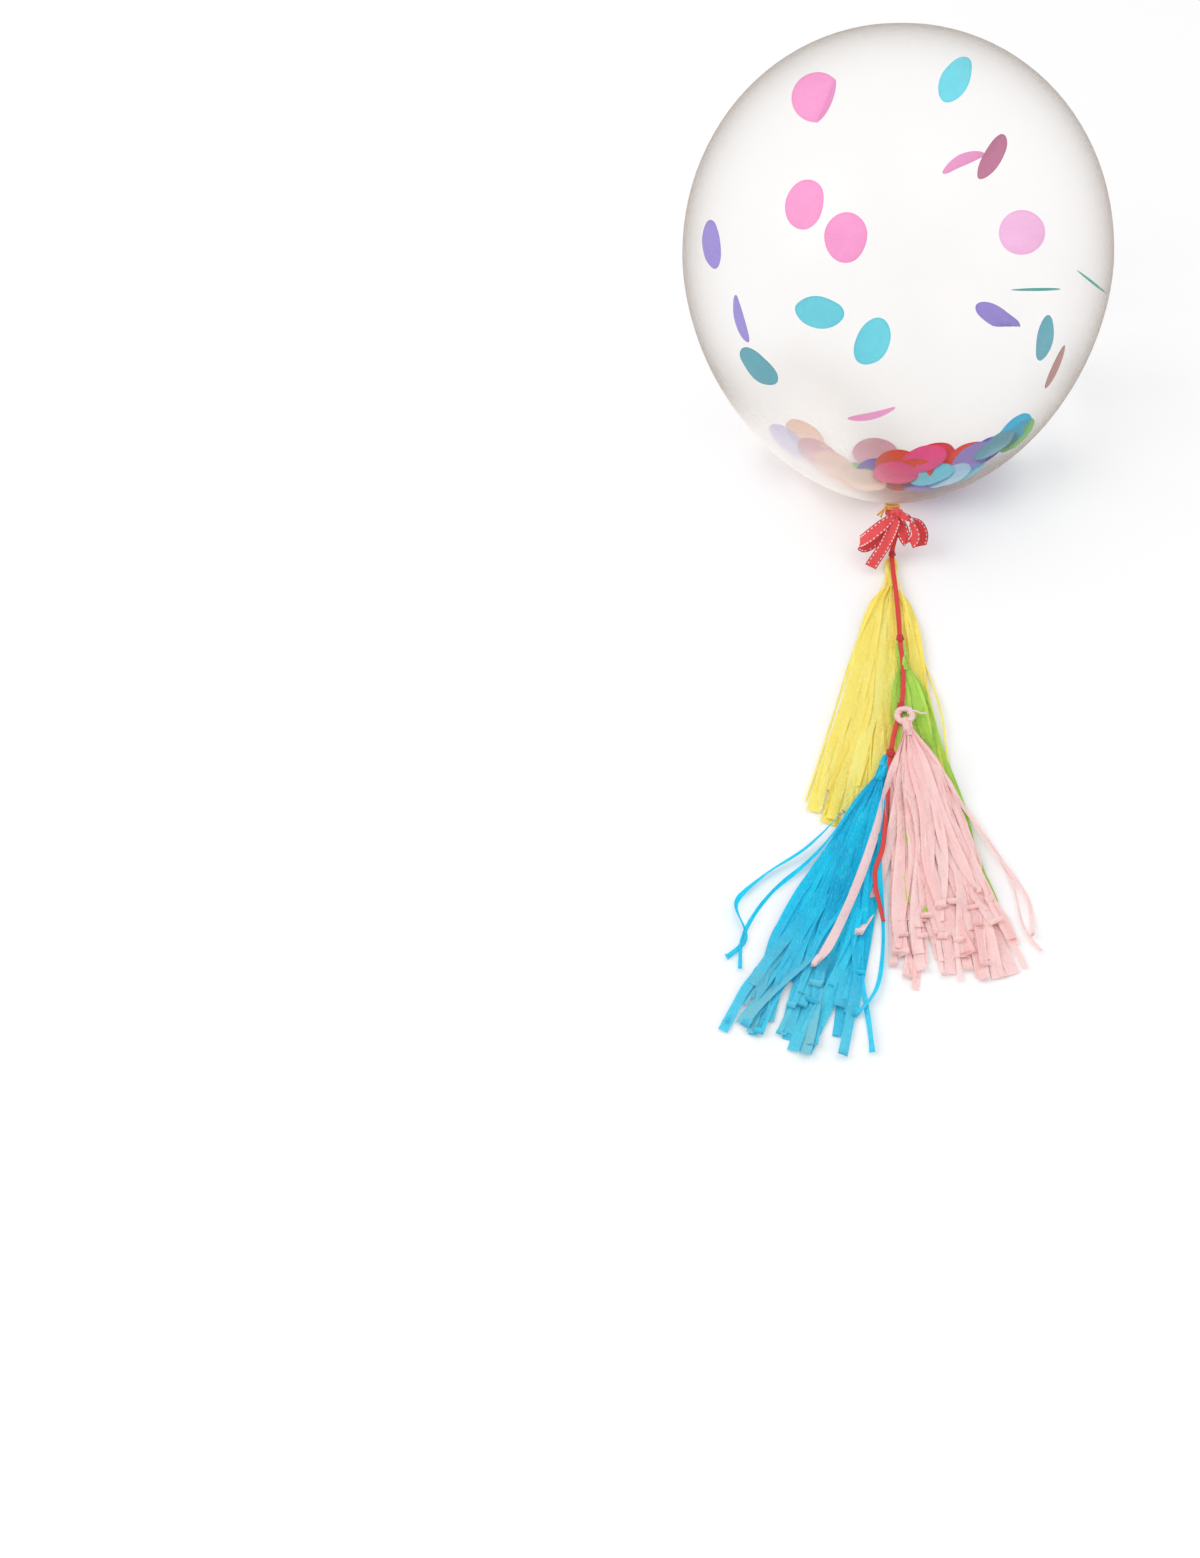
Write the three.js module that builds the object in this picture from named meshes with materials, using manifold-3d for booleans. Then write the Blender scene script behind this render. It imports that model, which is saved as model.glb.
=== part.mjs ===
import * as THREE from "three";
import { mergeVertices } from "three/addons/utils/BufferGeometryUtils.js";
import Module from "manifold-3d";

// A clear latex balloon lying loose on the ground, with a ribbon bow at its neck and a tail of four
// tissue tassels on a satin line. Millimetres, +Z up. The origin is the centre of the flat spot that
// the balloon rests on, and the tail runs toward -Y.

const wasm = await Module();
wasm.setup();

// Balloon, measured from its widest ring: a crown above it, a longer drop to the tied neck below it.
const balloonRadius = 300;
const crownHeight = 317;
const neckDrop = 349;
// Exponents of the outline: 2 is an ellipse, and less is nearer to a cone.
const crownFullness = 2.05;
const neckFullness = 1.85;
// Degrees that the neck is turned away from straight down.
const balloonTilt = 46;
const flatSpotDepth = 9;
const balloonSides = 40;
const crownSteps = 10;
const dropSteps = 12;

// Gathered neck: a narrow throat, then the mouth of the balloon with its rolled rim.
const throatRadius = 8;
const throatLength = 22;
const mouthRadius = 11;
const mouthLength = 8;
const rimRoll = 2;

// Golden cord tied round the throat, with two cut ends.
const tieCordRadius = 1.4;
const tieTurns = 2;
const tieDrop = 4;
const tieEndLength = 20;

// Stitched ribbon of the bow, and the band of it that goes round the throat.
const ribbonWidth = 18;
const ribbonThickness = 1.2;
const ribbonSteps = 10;
const bandWidth = 7;
const bandThickness = 1.6;
const bandDrop = 12;
const knotSize = [9, 7.5, 8];
const knotRight = 5;
const knotDrop = 14;
// How far the bow's longer tail reaches below the tie.
const bowReach = 90;

// Satin line that carries the tassels.
const lineRadius = 2.5;
const lineSides = 8;
const lineStepLength = 15;

// Gap between pieces that touch.
const clearance = 0.3;

// Paths of the bow's ribbon from the knot, in shares of the bow's reach: right, down from the tie and
// out from the throat, and the ribbon's own sideways direction at that point.
const bowPaths = {
  leftLoop: [
    { at: [0.044, 0.167, 0.156], side: [-0.5, 0.86, 0.1] },
    { at: [-0.189, 0.333, 0.244], side: [-0.47, 0.88, 0.1] },
    { at: [-0.422, 0.522, 0.256], side: [-0.35, 0.93, 0] },
    { at: [-0.511, 0.611, 0.178], side: [-0.2, 0.98, 0] },
    { at: [-0.422, 0.678, 0.1], side: [-0.35, 0.93, 0] },
    { at: [-0.167, 0.467, 0.111], side: [-0.5, 0.86, 0] },
    { at: [0.044, 0.2, 0.111], side: [-0.5, 0.86, 0] },
  ],
  rightLoop: [
    { at: [0.111, 0.156, 0.156], side: [0.55, 0.7, 0.45] },
    { at: [0.278, 0.289, 0.256], side: [0.62, 0.45, 0.64] },
    { at: [0.344, 0.478, 0.278], side: [0.7, 0.3, 0.65] },
    { at: [0.267, 0.6, 0.211], side: [0.85, 0.2, 0.5] },
    { at: [0.178, 0.5, 0.133], side: [0.92, 0.35, 0.1] },
    { at: [0.111, 0.222, 0.111], side: [0.92, 0.35, 0] },
  ],
  leftTail: [
    { at: [0.056, 0.2, 0.144], side: [-0.86, 0.5, 0] },
    { at: [-0.089, 0.556, 0.2], side: [-0.86, 0.5, 0] },
    { at: [-0.344, 1, 0.156], side: [-0.86, 0.5, 0.1] },
  ],
  rightTail: [
    { at: [0.122, 0.133, 0.089], side: [0.4, 0.2, 0.9] },
    { at: [0.367, 0.267, 0.089], side: [0.6, 0.1, 0.8] },
    { at: [0.467, 0.489, 0.133], side: [0.85, 0, 0.5] },
    { at: [0.411, 0.711, 0.189], side: [0.95, -0.1, 0.3] },
  ],
};

// Route of the line: right of the neck's tie, forward of it and height above the ground.
const linePoints = [
  [9, 33.2, 52.2],
  [4, 44, 32],
  [1, 54, 16],
  [1, 80, 16.5],
  [4, 120, 16],
  [6, 165, 16],
  [6, 205, 23],
  [8, 255, 24.5],
  [5, 300, 27],
  [1, 322, 29],
  [-7, 350, 25],
  [-14, 384, 20],
  [-18, 420, 19],
  [-23, 470, 19],
  [-30, 530, 17],
  [-42, 570, 14],
  [-33, 640, 11],
];

// How far forward of the tie each tassel's loop is, and how long the tassel is.
const yellowForward = 57;
const yellowLength = 455;
const greenForward = 202;
const greenLength = 425;
const pinkForward = 316;
const pinkLength = 425;
const blueForward = 384;
const blueLength = 478;

// Tassels: each has a looped and twisted head and a skirt of paper strips. head is right and forward
// of the neck's tie, aim is in degrees to the right of straight ahead, and spreads are at the tips.
const tassels = {
  yellow_tassel: {
    colour: 0xfbe25a,
    head: [0, yellowForward],
    aim: -2,
    length: yellowLength,
    leftSpread: 122,
    rightSpread: 88,
    flare: 0.92,
    strips: 11,
    loopLength: 33,
    loopWidth: 18,
    headLift: 0,
    tipLift: 0,
  },
  green_tassel: {
    colour: 0x9ad24a,
    head: [5, greenForward],
    aim: 6,
    length: greenLength,
    leftSpread: 42,
    rightSpread: 72,
    flare: 0.75,
    strips: 8,
    loopLength: 32,
    loopWidth: 16,
    headLift: 10,
    tipLift: 4,
  },
  blue_tassel: {
    colour: 0x00a9e0,
    head: [-17, blueForward],
    aim: -19,
    length: blueLength,
    leftSpread: 88,
    rightSpread: 78,
    flare: 0.72,
    strips: 11,
    loopLength: 26,
    loopWidth: 15,
    headLift: 6,
    tipLift: 0,
  },
  pink_tassel: {
    colour: 0xf7bcc6,
    head: [5, pinkForward],
    aim: 8,
    length: pinkLength,
    leftSpread: 88,
    rightSpread: 96,
    flare: 0.78,
    strips: 11,
    loopLength: 28,
    loopWidth: 28,
    headLift: 15,
    tipLift: 5,
  },
};

// Sizes that every tassel shares.
const loopStrand = 3.6;
const neckHalfWidth = 6.5;
const neckHeight = 12;
const tipHeight = 5;
const neckShare = 0.05;
const stripGapShare = 0.1;
const notchDepth = 3;
const notchReach = 0.82;
const tipVariation = 0.09;
const edgeHeightShare = 0.5;
const skirtRows = [0, neckShare, 0.14, 0.32, 0.55, 0.8, 1];

const tiltAngle = THREE.MathUtils.degToRad(balloonTilt);

// Radius and drop of the balloon's outline below the widest ring, at an angle from 0 to a quarter turn.
function dropPoint(angle) {
  const radius = balloonRadius * Math.cos(angle) ** (2 / neckFullness);
  const drop = neckDrop * Math.sin(angle) ** (2 / neckFullness);
  return { radius, drop };
}

// The angle at which the outline has narrowed to a given radius.
function angleAtRadius(radius) {
  return Math.acos((radius / balloonRadius) ** (neckFullness / 2));
}

// Outline of the balloon from the middle of its mouth to the top of its crown, around the Y axis.
function balloonOutline() {
  const mouthStart = neckDrop + throatLength;
  const mouthEnd = mouthStart + mouthLength;
  const outline = [
    new THREE.Vector2(0, -mouthEnd),
    new THREE.Vector2(mouthRadius, -mouthEnd),
    new THREE.Vector2(mouthRadius + rimRoll, rimRoll - mouthEnd),
    new THREE.Vector2(mouthRadius, 2 * rimRoll - mouthEnd),
    new THREE.Vector2(throatRadius, -mouthStart),
    new THREE.Vector2(throatRadius, -neckDrop - rimRoll),
  ];
  const lastAngle = angleAtRadius(3 * throatRadius);
  for (let step = dropSteps; step > 0; step -= 1) {
    const { radius, drop } = dropPoint((lastAngle * step) / dropSteps);
    outline.push(new THREE.Vector2(radius, -drop));
  }
  for (let step = 0; step < crownSteps; step += 1) {
    const angle = (Math.PI / 2) * (step / crownSteps);
    const radius = balloonRadius * Math.cos(angle) ** (2 / crownFullness);
    outline.push(new THREE.Vector2(radius, crownHeight * Math.sin(angle) ** (2 / crownFullness)));
  }
  outline.push(new THREE.Vector2(0, crownHeight));
  return outline;
}

// Lowest place of the tilted outline: how far below the middle it is, and how far forward of it.
function restingPlace() {
  const samples = 360;
  const places = Array.from({ length: samples }, (_, index) => {
    const { radius, drop } = dropPoint((Math.PI / 2) * (index / samples));
    return {
      depth: drop * Math.cos(tiltAngle) + radius * Math.sin(tiltAngle),
      forward: drop * Math.sin(tiltAngle) - radius * Math.cos(tiltAngle),
    };
  });
  return places.reduce((lowest, place) => (place.depth > lowest.depth ? place : lowest));
}

// The tilted balloon's own frame: its axis is local Y, and local Z faces up and forward.
function balloonFrame() {
  const rest = restingPlace();
  const frame = new THREE.Group();
  frame.position.set(0, rest.forward, rest.depth - flatSpotDepth);
  frame.rotation.x = Math.PI / 2 - tiltAngle;
  frame.updateMatrix();
  return frame;
}

const frame = balloonFrame();
const tie = new THREE.Vector3(0, -neckDrop, 0).applyMatrix4(frame.matrix);

// A closed geometry as a solid that can be joined and cut.
function solidOf(geometry) {
  const bare = geometry.clone();
  bare.deleteAttribute("normal");
  bare.deleteAttribute("uv");
  const merged = mergeVertices(bare, 1e-4);
  return new wasm.Manifold(
    new wasm.Mesh({
      numProp: 3,
      vertProperties: merged.attributes.position.array,
      triVerts: new Uint32Array(merged.index.array),
    }),
  );
}

// A joined or cut solid as a geometry again.
function geometryOf(solid) {
  const mesh = solid.getMesh();
  const geometry = new THREE.BufferGeometry();
  geometry.setAttribute("position", new THREE.BufferAttribute(mesh.vertProperties, 3));
  geometry.setIndex(new THREE.BufferAttribute(mesh.triVerts, 1));
  return geometry;
}

// A named mesh with a plain material.
function namedMesh(name, geometry, colour, roughness, opacity = 1) {
  const material = new THREE.MeshStandardMaterial({
    color: colour,
    roughness,
    metalness: 0,
    transparent: opacity < 1,
    opacity,
  });
  const shown = geometry.index ? geometry.toNonIndexed() : geometry;
  shown.computeVertexNormals();
  const mesh = new THREE.Mesh(shown, material);
  mesh.name = name;
  return mesh;
}

// A closed slab between two grids of points, each a list of equally long rows.
function slab(tops, bottoms) {
  const rows = tops.length;
  const columns = tops[0].length;
  const faces = [];
  const top = (row, column) => row * columns + column;
  const bottom = (row, column) => rows * columns + top(row, column);
  const quad = (a, b, c, d) => faces.push(a, b, c, a, c, d);
  for (let row = 0; row < rows - 1; row += 1) {
    for (let column = 0; column < columns - 1; column += 1) {
      quad(top(row, column), top(row + 1, column), top(row + 1, column + 1), top(row, column + 1));
      quad(bottom(row, column), bottom(row, column + 1), bottom(row + 1, column + 1), bottom(row + 1, column));
    }
    quad(bottom(row, 0), bottom(row + 1, 0), top(row + 1, 0), top(row, 0));
    const last = columns - 1;
    quad(top(row, last), top(row + 1, last), bottom(row + 1, last), bottom(row, last));
  }
  for (let column = 0; column < columns - 1; column += 1) {
    quad(top(0, column), top(0, column + 1), bottom(0, column + 1), bottom(0, column));
    const last = rows - 1;
    quad(bottom(last, column), bottom(last, column + 1), top(last, column + 1), top(last, column));
  }
  const points = [...tops.flat(), ...bottoms.flat()].flatMap((point) => point.toArray());
  const geometry = new THREE.BufferGeometry();
  geometry.setAttribute("position", new THREE.Float32BufferAttribute(points, 3));
  geometry.setIndex(faces);
  return geometry;
}

// The balloon with its flat spot, cut off where it meets the ground.
function makeBalloon() {
  const blown = new THREE.LatheGeometry(balloonOutline(), balloonSides).applyMatrix4(frame.matrix);
  const blockSize = 4 * balloonRadius;
  const ground = new THREE.BoxGeometry(blockSize, blockSize, blockSize).translate(0, 0, -blockSize / 2);
  return namedMesh("balloon", geometryOf(solidOf(blown).subtract(solidOf(ground))), 0xf6f2ea, 0.08, 0.35);
}

// A round rod along a smooth curve through the points.
function rod(points, radius, sides, steps) {
  const section = new THREE.Shape();
  for (let side = 0; side < sides; side += 1) {
    const angle = (2 * Math.PI * side) / sides;
    section[side ? "lineTo" : "moveTo"](radius * Math.cos(angle), radius * Math.sin(angle));
  }
  section.closePath();
  const path = new THREE.CatmullRomCurve3(points, false, "centripetal");
  return new THREE.ExtrudeGeometry(section, { steps, extrudePath: path, bevelEnabled: false });
}

// A point of the neck: right, down from the tie and out from the axis, in the balloon's own frame.
function neckPoint([right, down, out]) {
  return new THREE.Vector3(right, -neckDrop - down, out);
}

// A point of the bow, from its shares of the bow's reach.
function bowPoint([right, down, out]) {
  return neckPoint([right * bowReach, down * bowReach, throatRadius + out * bowReach]);
}

// The golden cord's turns round the throat, and its two cut ends on the left.
function makeTieCord() {
  const turnRadius = throatRadius + clearance + tieCordRadius;
  const pitch = 1.7 * tieCordRadius;
  const turns = Array.from({ length: tieTurns }, (_, index) =>
    solidOf(
      new THREE.TorusGeometry(turnRadius, tieCordRadius, 5, 14)
        .rotateX(Math.PI / 2)
        .translate(0, -neckDrop - tieDrop - index * pitch, 0),
    ),
  );
  const ends = [0.55, 0.95].map((lean, index) => {
    const start = neckPoint([-turnRadius * 0.9, tieDrop + index * pitch, turnRadius * 0.42]);
    const outward = new THREE.Vector3(-Math.sin(lean) * 0.8, -Math.cos(lean), 0.25);
    const middle = start.clone().addScaledVector(outward, tieEndLength / 2);
    middle.z += tieCordRadius;
    const end = start.clone().addScaledVector(outward, tieEndLength);
    return solidOf(rod([start, middle, end], tieCordRadius, 6, 4));
  });
  return namedMesh("neck_tie_cord", geometryOf([...turns, ...ends].reduce((a, b) => a.add(b))), 0xf0b429, 0.6);
}

// A ribbon along a path of points with sideways directions.
function ribbon(path) {
  const centres = new THREE.CatmullRomCurve3(path.map(({ at }) => bowPoint(at)));
  const sides = new THREE.CatmullRomCurve3(
    path.map(({ side }) => new THREE.Vector3(side[0], -side[1], side[2]).normalize()),
  );
  const tops = [];
  const bottoms = [];
  for (let step = 0; step <= ribbonSteps; step += 1) {
    const share = step / ribbonSteps;
    const centre = centres.getPoint(share);
    const along = centres.getTangent(share);
    const across = sides.getPoint(share);
    across.addScaledVector(along, -across.dot(along)).normalize();
    const normal = along.clone().cross(across);
    const edge = (half, lift) =>
      centre
        .clone()
        .addScaledVector(across, (half * ribbonWidth) / 2)
        .addScaledVector(normal, (lift * ribbonThickness) / 2);
    tops.push([edge(-1, 1), edge(1, 1)]);
    bottoms.push([edge(-1, -1), edge(1, -1)]);
  }
  return solidOf(slab(tops, bottoms));
}

// The bow: a band round the throat, the knot in front of it, two loops and two tails.
function makeBow() {
  const inner = throatRadius + clearance;
  const outer = inner + bandThickness;
  const bandTop = -neckDrop - bandDrop;
  const band = [
    new THREE.Vector2(inner, bandTop - bandWidth),
    new THREE.Vector2(outer, bandTop - bandWidth),
    new THREE.Vector2(outer, bandTop),
    new THREE.Vector2(inner, bandTop),
    new THREE.Vector2(inner, bandTop - bandWidth),
  ];
  const knot = new THREE.SphereGeometry(1, 10, 6)
    .scale(...knotSize)
    .translate(...neckPoint([knotRight, knotDrop, inner + knotSize[2]]).toArray());
  const pieces = [
    solidOf(new THREE.LatheGeometry(band, 16)),
    solidOf(knot),
    ...Object.values(bowPaths).map(ribbon),
  ];
  return namedMesh("ribbon_bow", geometryOf(pieces.reduce((a, b) => a.add(b))), 0xe8484e, 0.55);
}

// A point on the ground side: right and forward of the tie, and above the ground.
function groundPoint(right, forward, height) {
  return new THREE.Vector3(right, tie.y - forward, height);
}

// The line's rod, or with a margin the space that it needs.
function lineRod(margin = 0) {
  const points = linePoints.map((point) => groundPoint(...point));
  const length = new THREE.CatmullRomCurve3(points).getLength();
  return rod(points, lineRadius + margin, lineSides, Math.round(length / lineStepLength));
}

// How high the pile of strips is over its own base, along the skirt and across it.
function pileHeight(along, across, isNotch) {
  const middle = tipHeight + (neckHeight - tipHeight) * (1 - along);
  const bulge = Math.sqrt(1 - (2 * across - 1) ** 2);
  const height = middle * (edgeHeightShare + (1 - edgeHeightShare) * bulge);
  return isNotch && along > neckShare ? Math.max(height - notchDepth, tipHeight / 2) : height;
}

// How far down the skirt a strip ends, as a share of the longest.
function stripReach(strip) {
  return 1 - tipVariation * (1 + Math.sin(2.4 * strip * strip + strip));
}

// The columns of a skirt: each strip has two edges, with a notch between it and the next. A filled
// skirt has no notches, as the paper that lies on it bridges them.
function skirtColumns(strips, isFilled) {
  const columns = [];
  for (let strip = 0; strip < strips; strip += 1) {
    const reach = stripReach(strip);
    const nextReach = stripReach(strip + 1);
    columns.push({ across: (strip + stripGapShare) / strips, reach, isNotch: false });
    columns.push({ across: (strip + 1 - stripGapShare) / strips, reach, isNotch: false });
    if (strip < strips - 1)
      columns.push({
        across: (strip + 1) / strips,
        reach: isFilled ? Math.max(reach, nextReach) : Math.min(reach, nextReach) * notchReach,
        isNotch: !isFilled,
      });
  }
  return columns;
}

// A tassel's skirt and looped head. With a margin it is the space that the tassel fills, from below
// the ground up, to be cut from what lies on it.
function tasselSolid(tassel, margin = 0) {
  const aim = THREE.MathUtils.degToRad(tassel.aim);
  const place = (right, forward, height) =>
    groundPoint(
      tassel.head[0] + right * Math.cos(aim) + forward * Math.sin(aim),
      tassel.head[1] + forward * Math.cos(aim) - right * Math.sin(aim),
      height,
    );
  const skirtStart = tassel.loopLength - loopStrand;
  const skirtLength = tassel.length - skirtStart;
  const columns = skirtColumns(tassel.strips, margin > 0);
  const base = margin ? -neckHeight : 0;
  const tops = [];
  const bottoms = [];
  for (const along of skirtRows) {
    const row = columns.map(({ across, reach, isNotch }, index) => {
      const share = along * reach;
      const opened = (Math.max(share - neckShare, 0) / (1 - neckShare)) ** tassel.flare;
      const left = neckHalfWidth + (tassel.leftSpread - neckHalfWidth) * opened;
      const right = neckHalfWidth + (tassel.rightSpread - neckHalfWidth) * opened;
      const outward = index === 0 ? -margin : index === columns.length - 1 ? margin : 0;
      const sideways = across * (left + right) - left + outward;
      const lean = Math.atan2(sideways, skirtLength);
      const forward = skirtStart + (skirtLength * share + margin * along) * Math.cos(lean);
      const lift = tassel.headLift + (tassel.tipLift - tassel.headLift) * share;
      return { sideways, forward, height: lift + pileHeight(share, across, isNotch) + margin };
    });
    tops.push(row.map(({ sideways, forward, height }) => place(sideways, forward, height)));
    bottoms.push(row.map(({ sideways, forward }) => place(sideways, forward, base)));
  }
  const strand = loopStrand + margin;
  const loop = new THREE.TorusGeometry(1, strand / (tassel.loopWidth / 2 - loopStrand), 6, 14)
    .scale(tassel.loopWidth / 2 - loopStrand, tassel.loopLength / 2 - loopStrand, tassel.loopWidth / 2 - loopStrand)
    .rotateZ(aim)
    .translate(...place(0, tassel.loopLength / 2, tassel.headLift + loopStrand).toArray());
  return solidOf(slab(tops, bottoms)).add(solidOf(loop));
}

// The largest body of a solid, without the slivers that a cut can leave beside it.
function mainBody(solid) {
  return solid.decompose().reduce((largest, body) => (body.volume() > largest.volume() ? body : largest));
}

// The four tassels in the order that they lie in, each resting on those below it and clear of the line.
function makeTassels() {
  const lineSpace = solidOf(lineRod(clearance));
  const below = [];
  return Object.entries(tassels).map(([name, tassel]) => {
    const whole = tasselSolid(tassel);
    const cut = mainBody([...below, lineSpace].reduce((solid, space) => solid.subtract(space), whole));
    below.push(tasselSolid(tassel, clearance));
    return namedMesh(name, geometryOf(cut), tassel.colour, 0.9);
  });
}

const part = new THREE.Group();
frame.add(makeTieCord(), makeBow());
part.add(makeBalloon(), frame, namedMesh("hanging_line", lineRod(), 0xd8382f, 0.5), ...makeTassels());

export default part;
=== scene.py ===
import logging
import math
import random
from dataclasses import dataclass, field
from enum import Enum
from functools import cached_property
from typing import Callable, Sequence

import bmesh
import bpy
from mathutils import Matrix, Vector, noise


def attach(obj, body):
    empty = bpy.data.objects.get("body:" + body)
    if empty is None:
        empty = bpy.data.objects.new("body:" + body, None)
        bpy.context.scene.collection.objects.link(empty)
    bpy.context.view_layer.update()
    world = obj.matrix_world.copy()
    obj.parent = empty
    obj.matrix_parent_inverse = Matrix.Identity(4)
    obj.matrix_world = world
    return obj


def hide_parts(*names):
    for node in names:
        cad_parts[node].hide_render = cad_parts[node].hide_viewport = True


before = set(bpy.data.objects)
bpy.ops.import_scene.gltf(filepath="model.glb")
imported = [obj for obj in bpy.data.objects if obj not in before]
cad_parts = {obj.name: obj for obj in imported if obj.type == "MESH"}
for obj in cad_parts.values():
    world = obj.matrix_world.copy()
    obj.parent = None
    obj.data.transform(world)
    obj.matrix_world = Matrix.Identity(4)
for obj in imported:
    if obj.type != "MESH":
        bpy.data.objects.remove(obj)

log = logging.getLogger("balloon")
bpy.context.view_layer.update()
Colour = tuple[float, float, float]


# Shader helpers


class Value:
    """A number that varies over a surface, for use in sums."""

    def __init__(self, tree: "Shader", socket: bpy.types.NodeSocket) -> None:
        """Wraps a socket.

        Args:
            tree: the shader that the socket belongs to.
            socket: the output that gives the number.
        """
        self.tree = tree
        self.socket = socket

    def _math(self, operation: str, *numbers: "Value | float", clamp: bool = False) -> "Value":
        """Adds a Math node.

        Args:
            operation: the node's operation.
            numbers: its inputs in order.
            clamp: whether the result is kept between 0 and 1.

        Returns:
            The node's result.
        """
        node = self.tree.node("ShaderNodeMath", {"operation": operation, "use_clamp": clamp})
        for index, number in enumerate(numbers):
            self.tree.plug(node.inputs[index], number)
        return Value(self.tree, node.outputs[0])

    def __add__(self, other: "Value | float") -> "Value":
        """Sum."""
        return self._math("ADD", self, other)

    def __radd__(self, other: float) -> "Value":
        """Sum, number first."""
        return self._math("ADD", other, self)

    def __sub__(self, other: "Value | float") -> "Value":
        """Difference."""
        return self._math("SUBTRACT", self, other)

    def __rsub__(self, other: float) -> "Value":
        """Difference, number first."""
        return self._math("SUBTRACT", other, self)

    def __mul__(self, other: "Value | float") -> "Value":
        """Product."""
        return self._math("MULTIPLY", self, other)

    def __rmul__(self, other: float) -> "Value":
        """Product, number first."""
        return self._math("MULTIPLY", other, self)

    def __pow__(self, other: float) -> "Value":
        """Power."""
        return self._math("POWER", self, other)

    def absolute(self) -> "Value":
        """Size without its sign."""
        return self._math("ABSOLUTE", self)

    def sine(self) -> "Value":
        """Sine."""
        return self._math("SINE", self)

    def clamped(self) -> "Value":
        """The same number kept between 0 and 1."""
        return self._math("MULTIPLY", self, 1.0, clamp=True)

    def step(self, low: float, high: float) -> "Value":
        """A smooth step.

        Args:
            low: where it starts.
            high: where it ends.

        Returns:
            0 below low, 1 above high and a smooth rise between.
        """
        node = self.tree.node(
            "ShaderNodeMapRange",
            {"interpolation_type": "SMOOTHSTEP"},
            {"Value": self, "From Min": low, "From Max": high},
        )
        return Value(self.tree, node.outputs[0])


class Shader:
    """One material and its node tree."""

    def __init__(self, name: str) -> None:
        """Starts an empty material.

        Args:
            name: the material's name.
        """
        self.material = bpy.data.materials.new(name)
        self.material.use_nodes = True
        self.tree = self.material.node_tree
        self.tree.nodes.clear()
        self.out = self.node("ShaderNodeOutputMaterial")

    def node(self, kind: str, settings: dict | None = None, sockets: dict | None = None) -> bpy.types.Node:
        """Adds a node.

        Args:
            kind: the node's type.
            settings: its own settings, set first.
            sockets: values or links of its inputs, by name.

        Returns:
            The node.
        """
        made = self.tree.nodes.new(kind)
        for key, value in (settings or {}).items():
            setattr(made, key, value)
        for key, value in (sockets or {}).items():
            self.plug(made.inputs[key], value)
        return made

    def plug(self, socket: bpy.types.NodeSocket, value: object) -> None:
        """Links or sets one input.

        Args:
            socket: the input.
            value: a number, colour, Value, node or output.
        """
        if isinstance(value, Value):
            self.tree.links.new(value.socket, socket)
        elif isinstance(value, bpy.types.Node):
            self.tree.links.new(value.outputs[0], socket)
        elif isinstance(value, bpy.types.NodeSocket):
            self.tree.links.new(value, socket)
        elif isinstance(value, tuple) and len(value) == 3 and socket.type == "RGBA":
            socket.default_value = (*value, 1.0)
        else:
            socket.default_value = value

    def places(self, output: str = "Object") -> bpy.types.NodeSocket:
        """The surface's own coordinates: Object or UV."""
        return self.node("ShaderNodeTexCoord").outputs[output]

    def stretched(self, where: bpy.types.NodeSocket, scale: tuple[float, float, float]) -> bpy.types.Node:
        """Coordinates drawn out, for grain that runs one way."""
        return self.node("ShaderNodeMapping", None, {"Vector": where, "Scale": scale})

    def attribute(self, name: str) -> Value:
        """A number stored on the mesh."""
        return Value(self, self.node("ShaderNodeAttribute", {"attribute_name": name}).outputs["Fac"])

    def noise(
        self, scale: float, detail: float = 3.0, where: object = None, distortion: float = 0.0
    ) -> Value:
        """Noise over the surface.

        Args:
            scale: repeats to the metre, or to the unit of where.
            detail: how fine it goes.
            where: coordinates, or None for Object ones.
            distortion: how far it is pulled about.

        Returns:
            The noise, about 0 to 1.
        """
        made = self.node(
            "ShaderNodeTexNoise",
            None,
            {"Vector": where or self.places(), "Scale": scale, "Detail": detail, "Distortion": distortion},
        )
        return Value(self, made.outputs[0])

    def mix(self, factor: Value | float, first: object, second: object) -> bpy.types.NodeSocket:
        """Mixes two colours.

        Args:
            factor: share of the second.
            first: a colour or its socket.
            second: a colour or its socket.

        Returns:
            The mixed colour.
        """
        made = self.node("ShaderNodeMix", {"data_type": "RGBA"})
        self.plug(made.inputs[0], factor)
        self.plug(made.inputs[6], first)
        self.plug(made.inputs[7], second)
        return made.outputs[2]

    def bump(self, height: Value, depth: float, strength: float = 1.0) -> bpy.types.Node:
        """Bump from a height.

        Args:
            height: the relief, about 0 to 1.
            depth: its depth in metres.
            strength: share of it that shows.

        Returns:
            The Bump node.
        """
        return self.node("ShaderNodeBump", None, {"Height": height, "Distance": depth, "Strength": strength})

    def blend(self, factor: Value | float, first: bpy.types.Node, second: bpy.types.Node) -> bpy.types.Node:
        """Mixes two shaders.

        Args:
            factor: share of the second.
            first: a shader.
            second: a shader.

        Returns:
            The Mix Shader node.
        """
        made = self.node("ShaderNodeMixShader")
        self.plug(made.inputs[0], factor)
        self.plug(made.inputs[1], first)
        self.plug(made.inputs[2], second)
        return made

    def finish(self, surface: bpy.types.Node) -> bpy.types.Material:
        """Connects the surface and returns the material."""
        self.plug(self.out.inputs["Surface"], surface)
        return self.material


# Finishes


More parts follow.
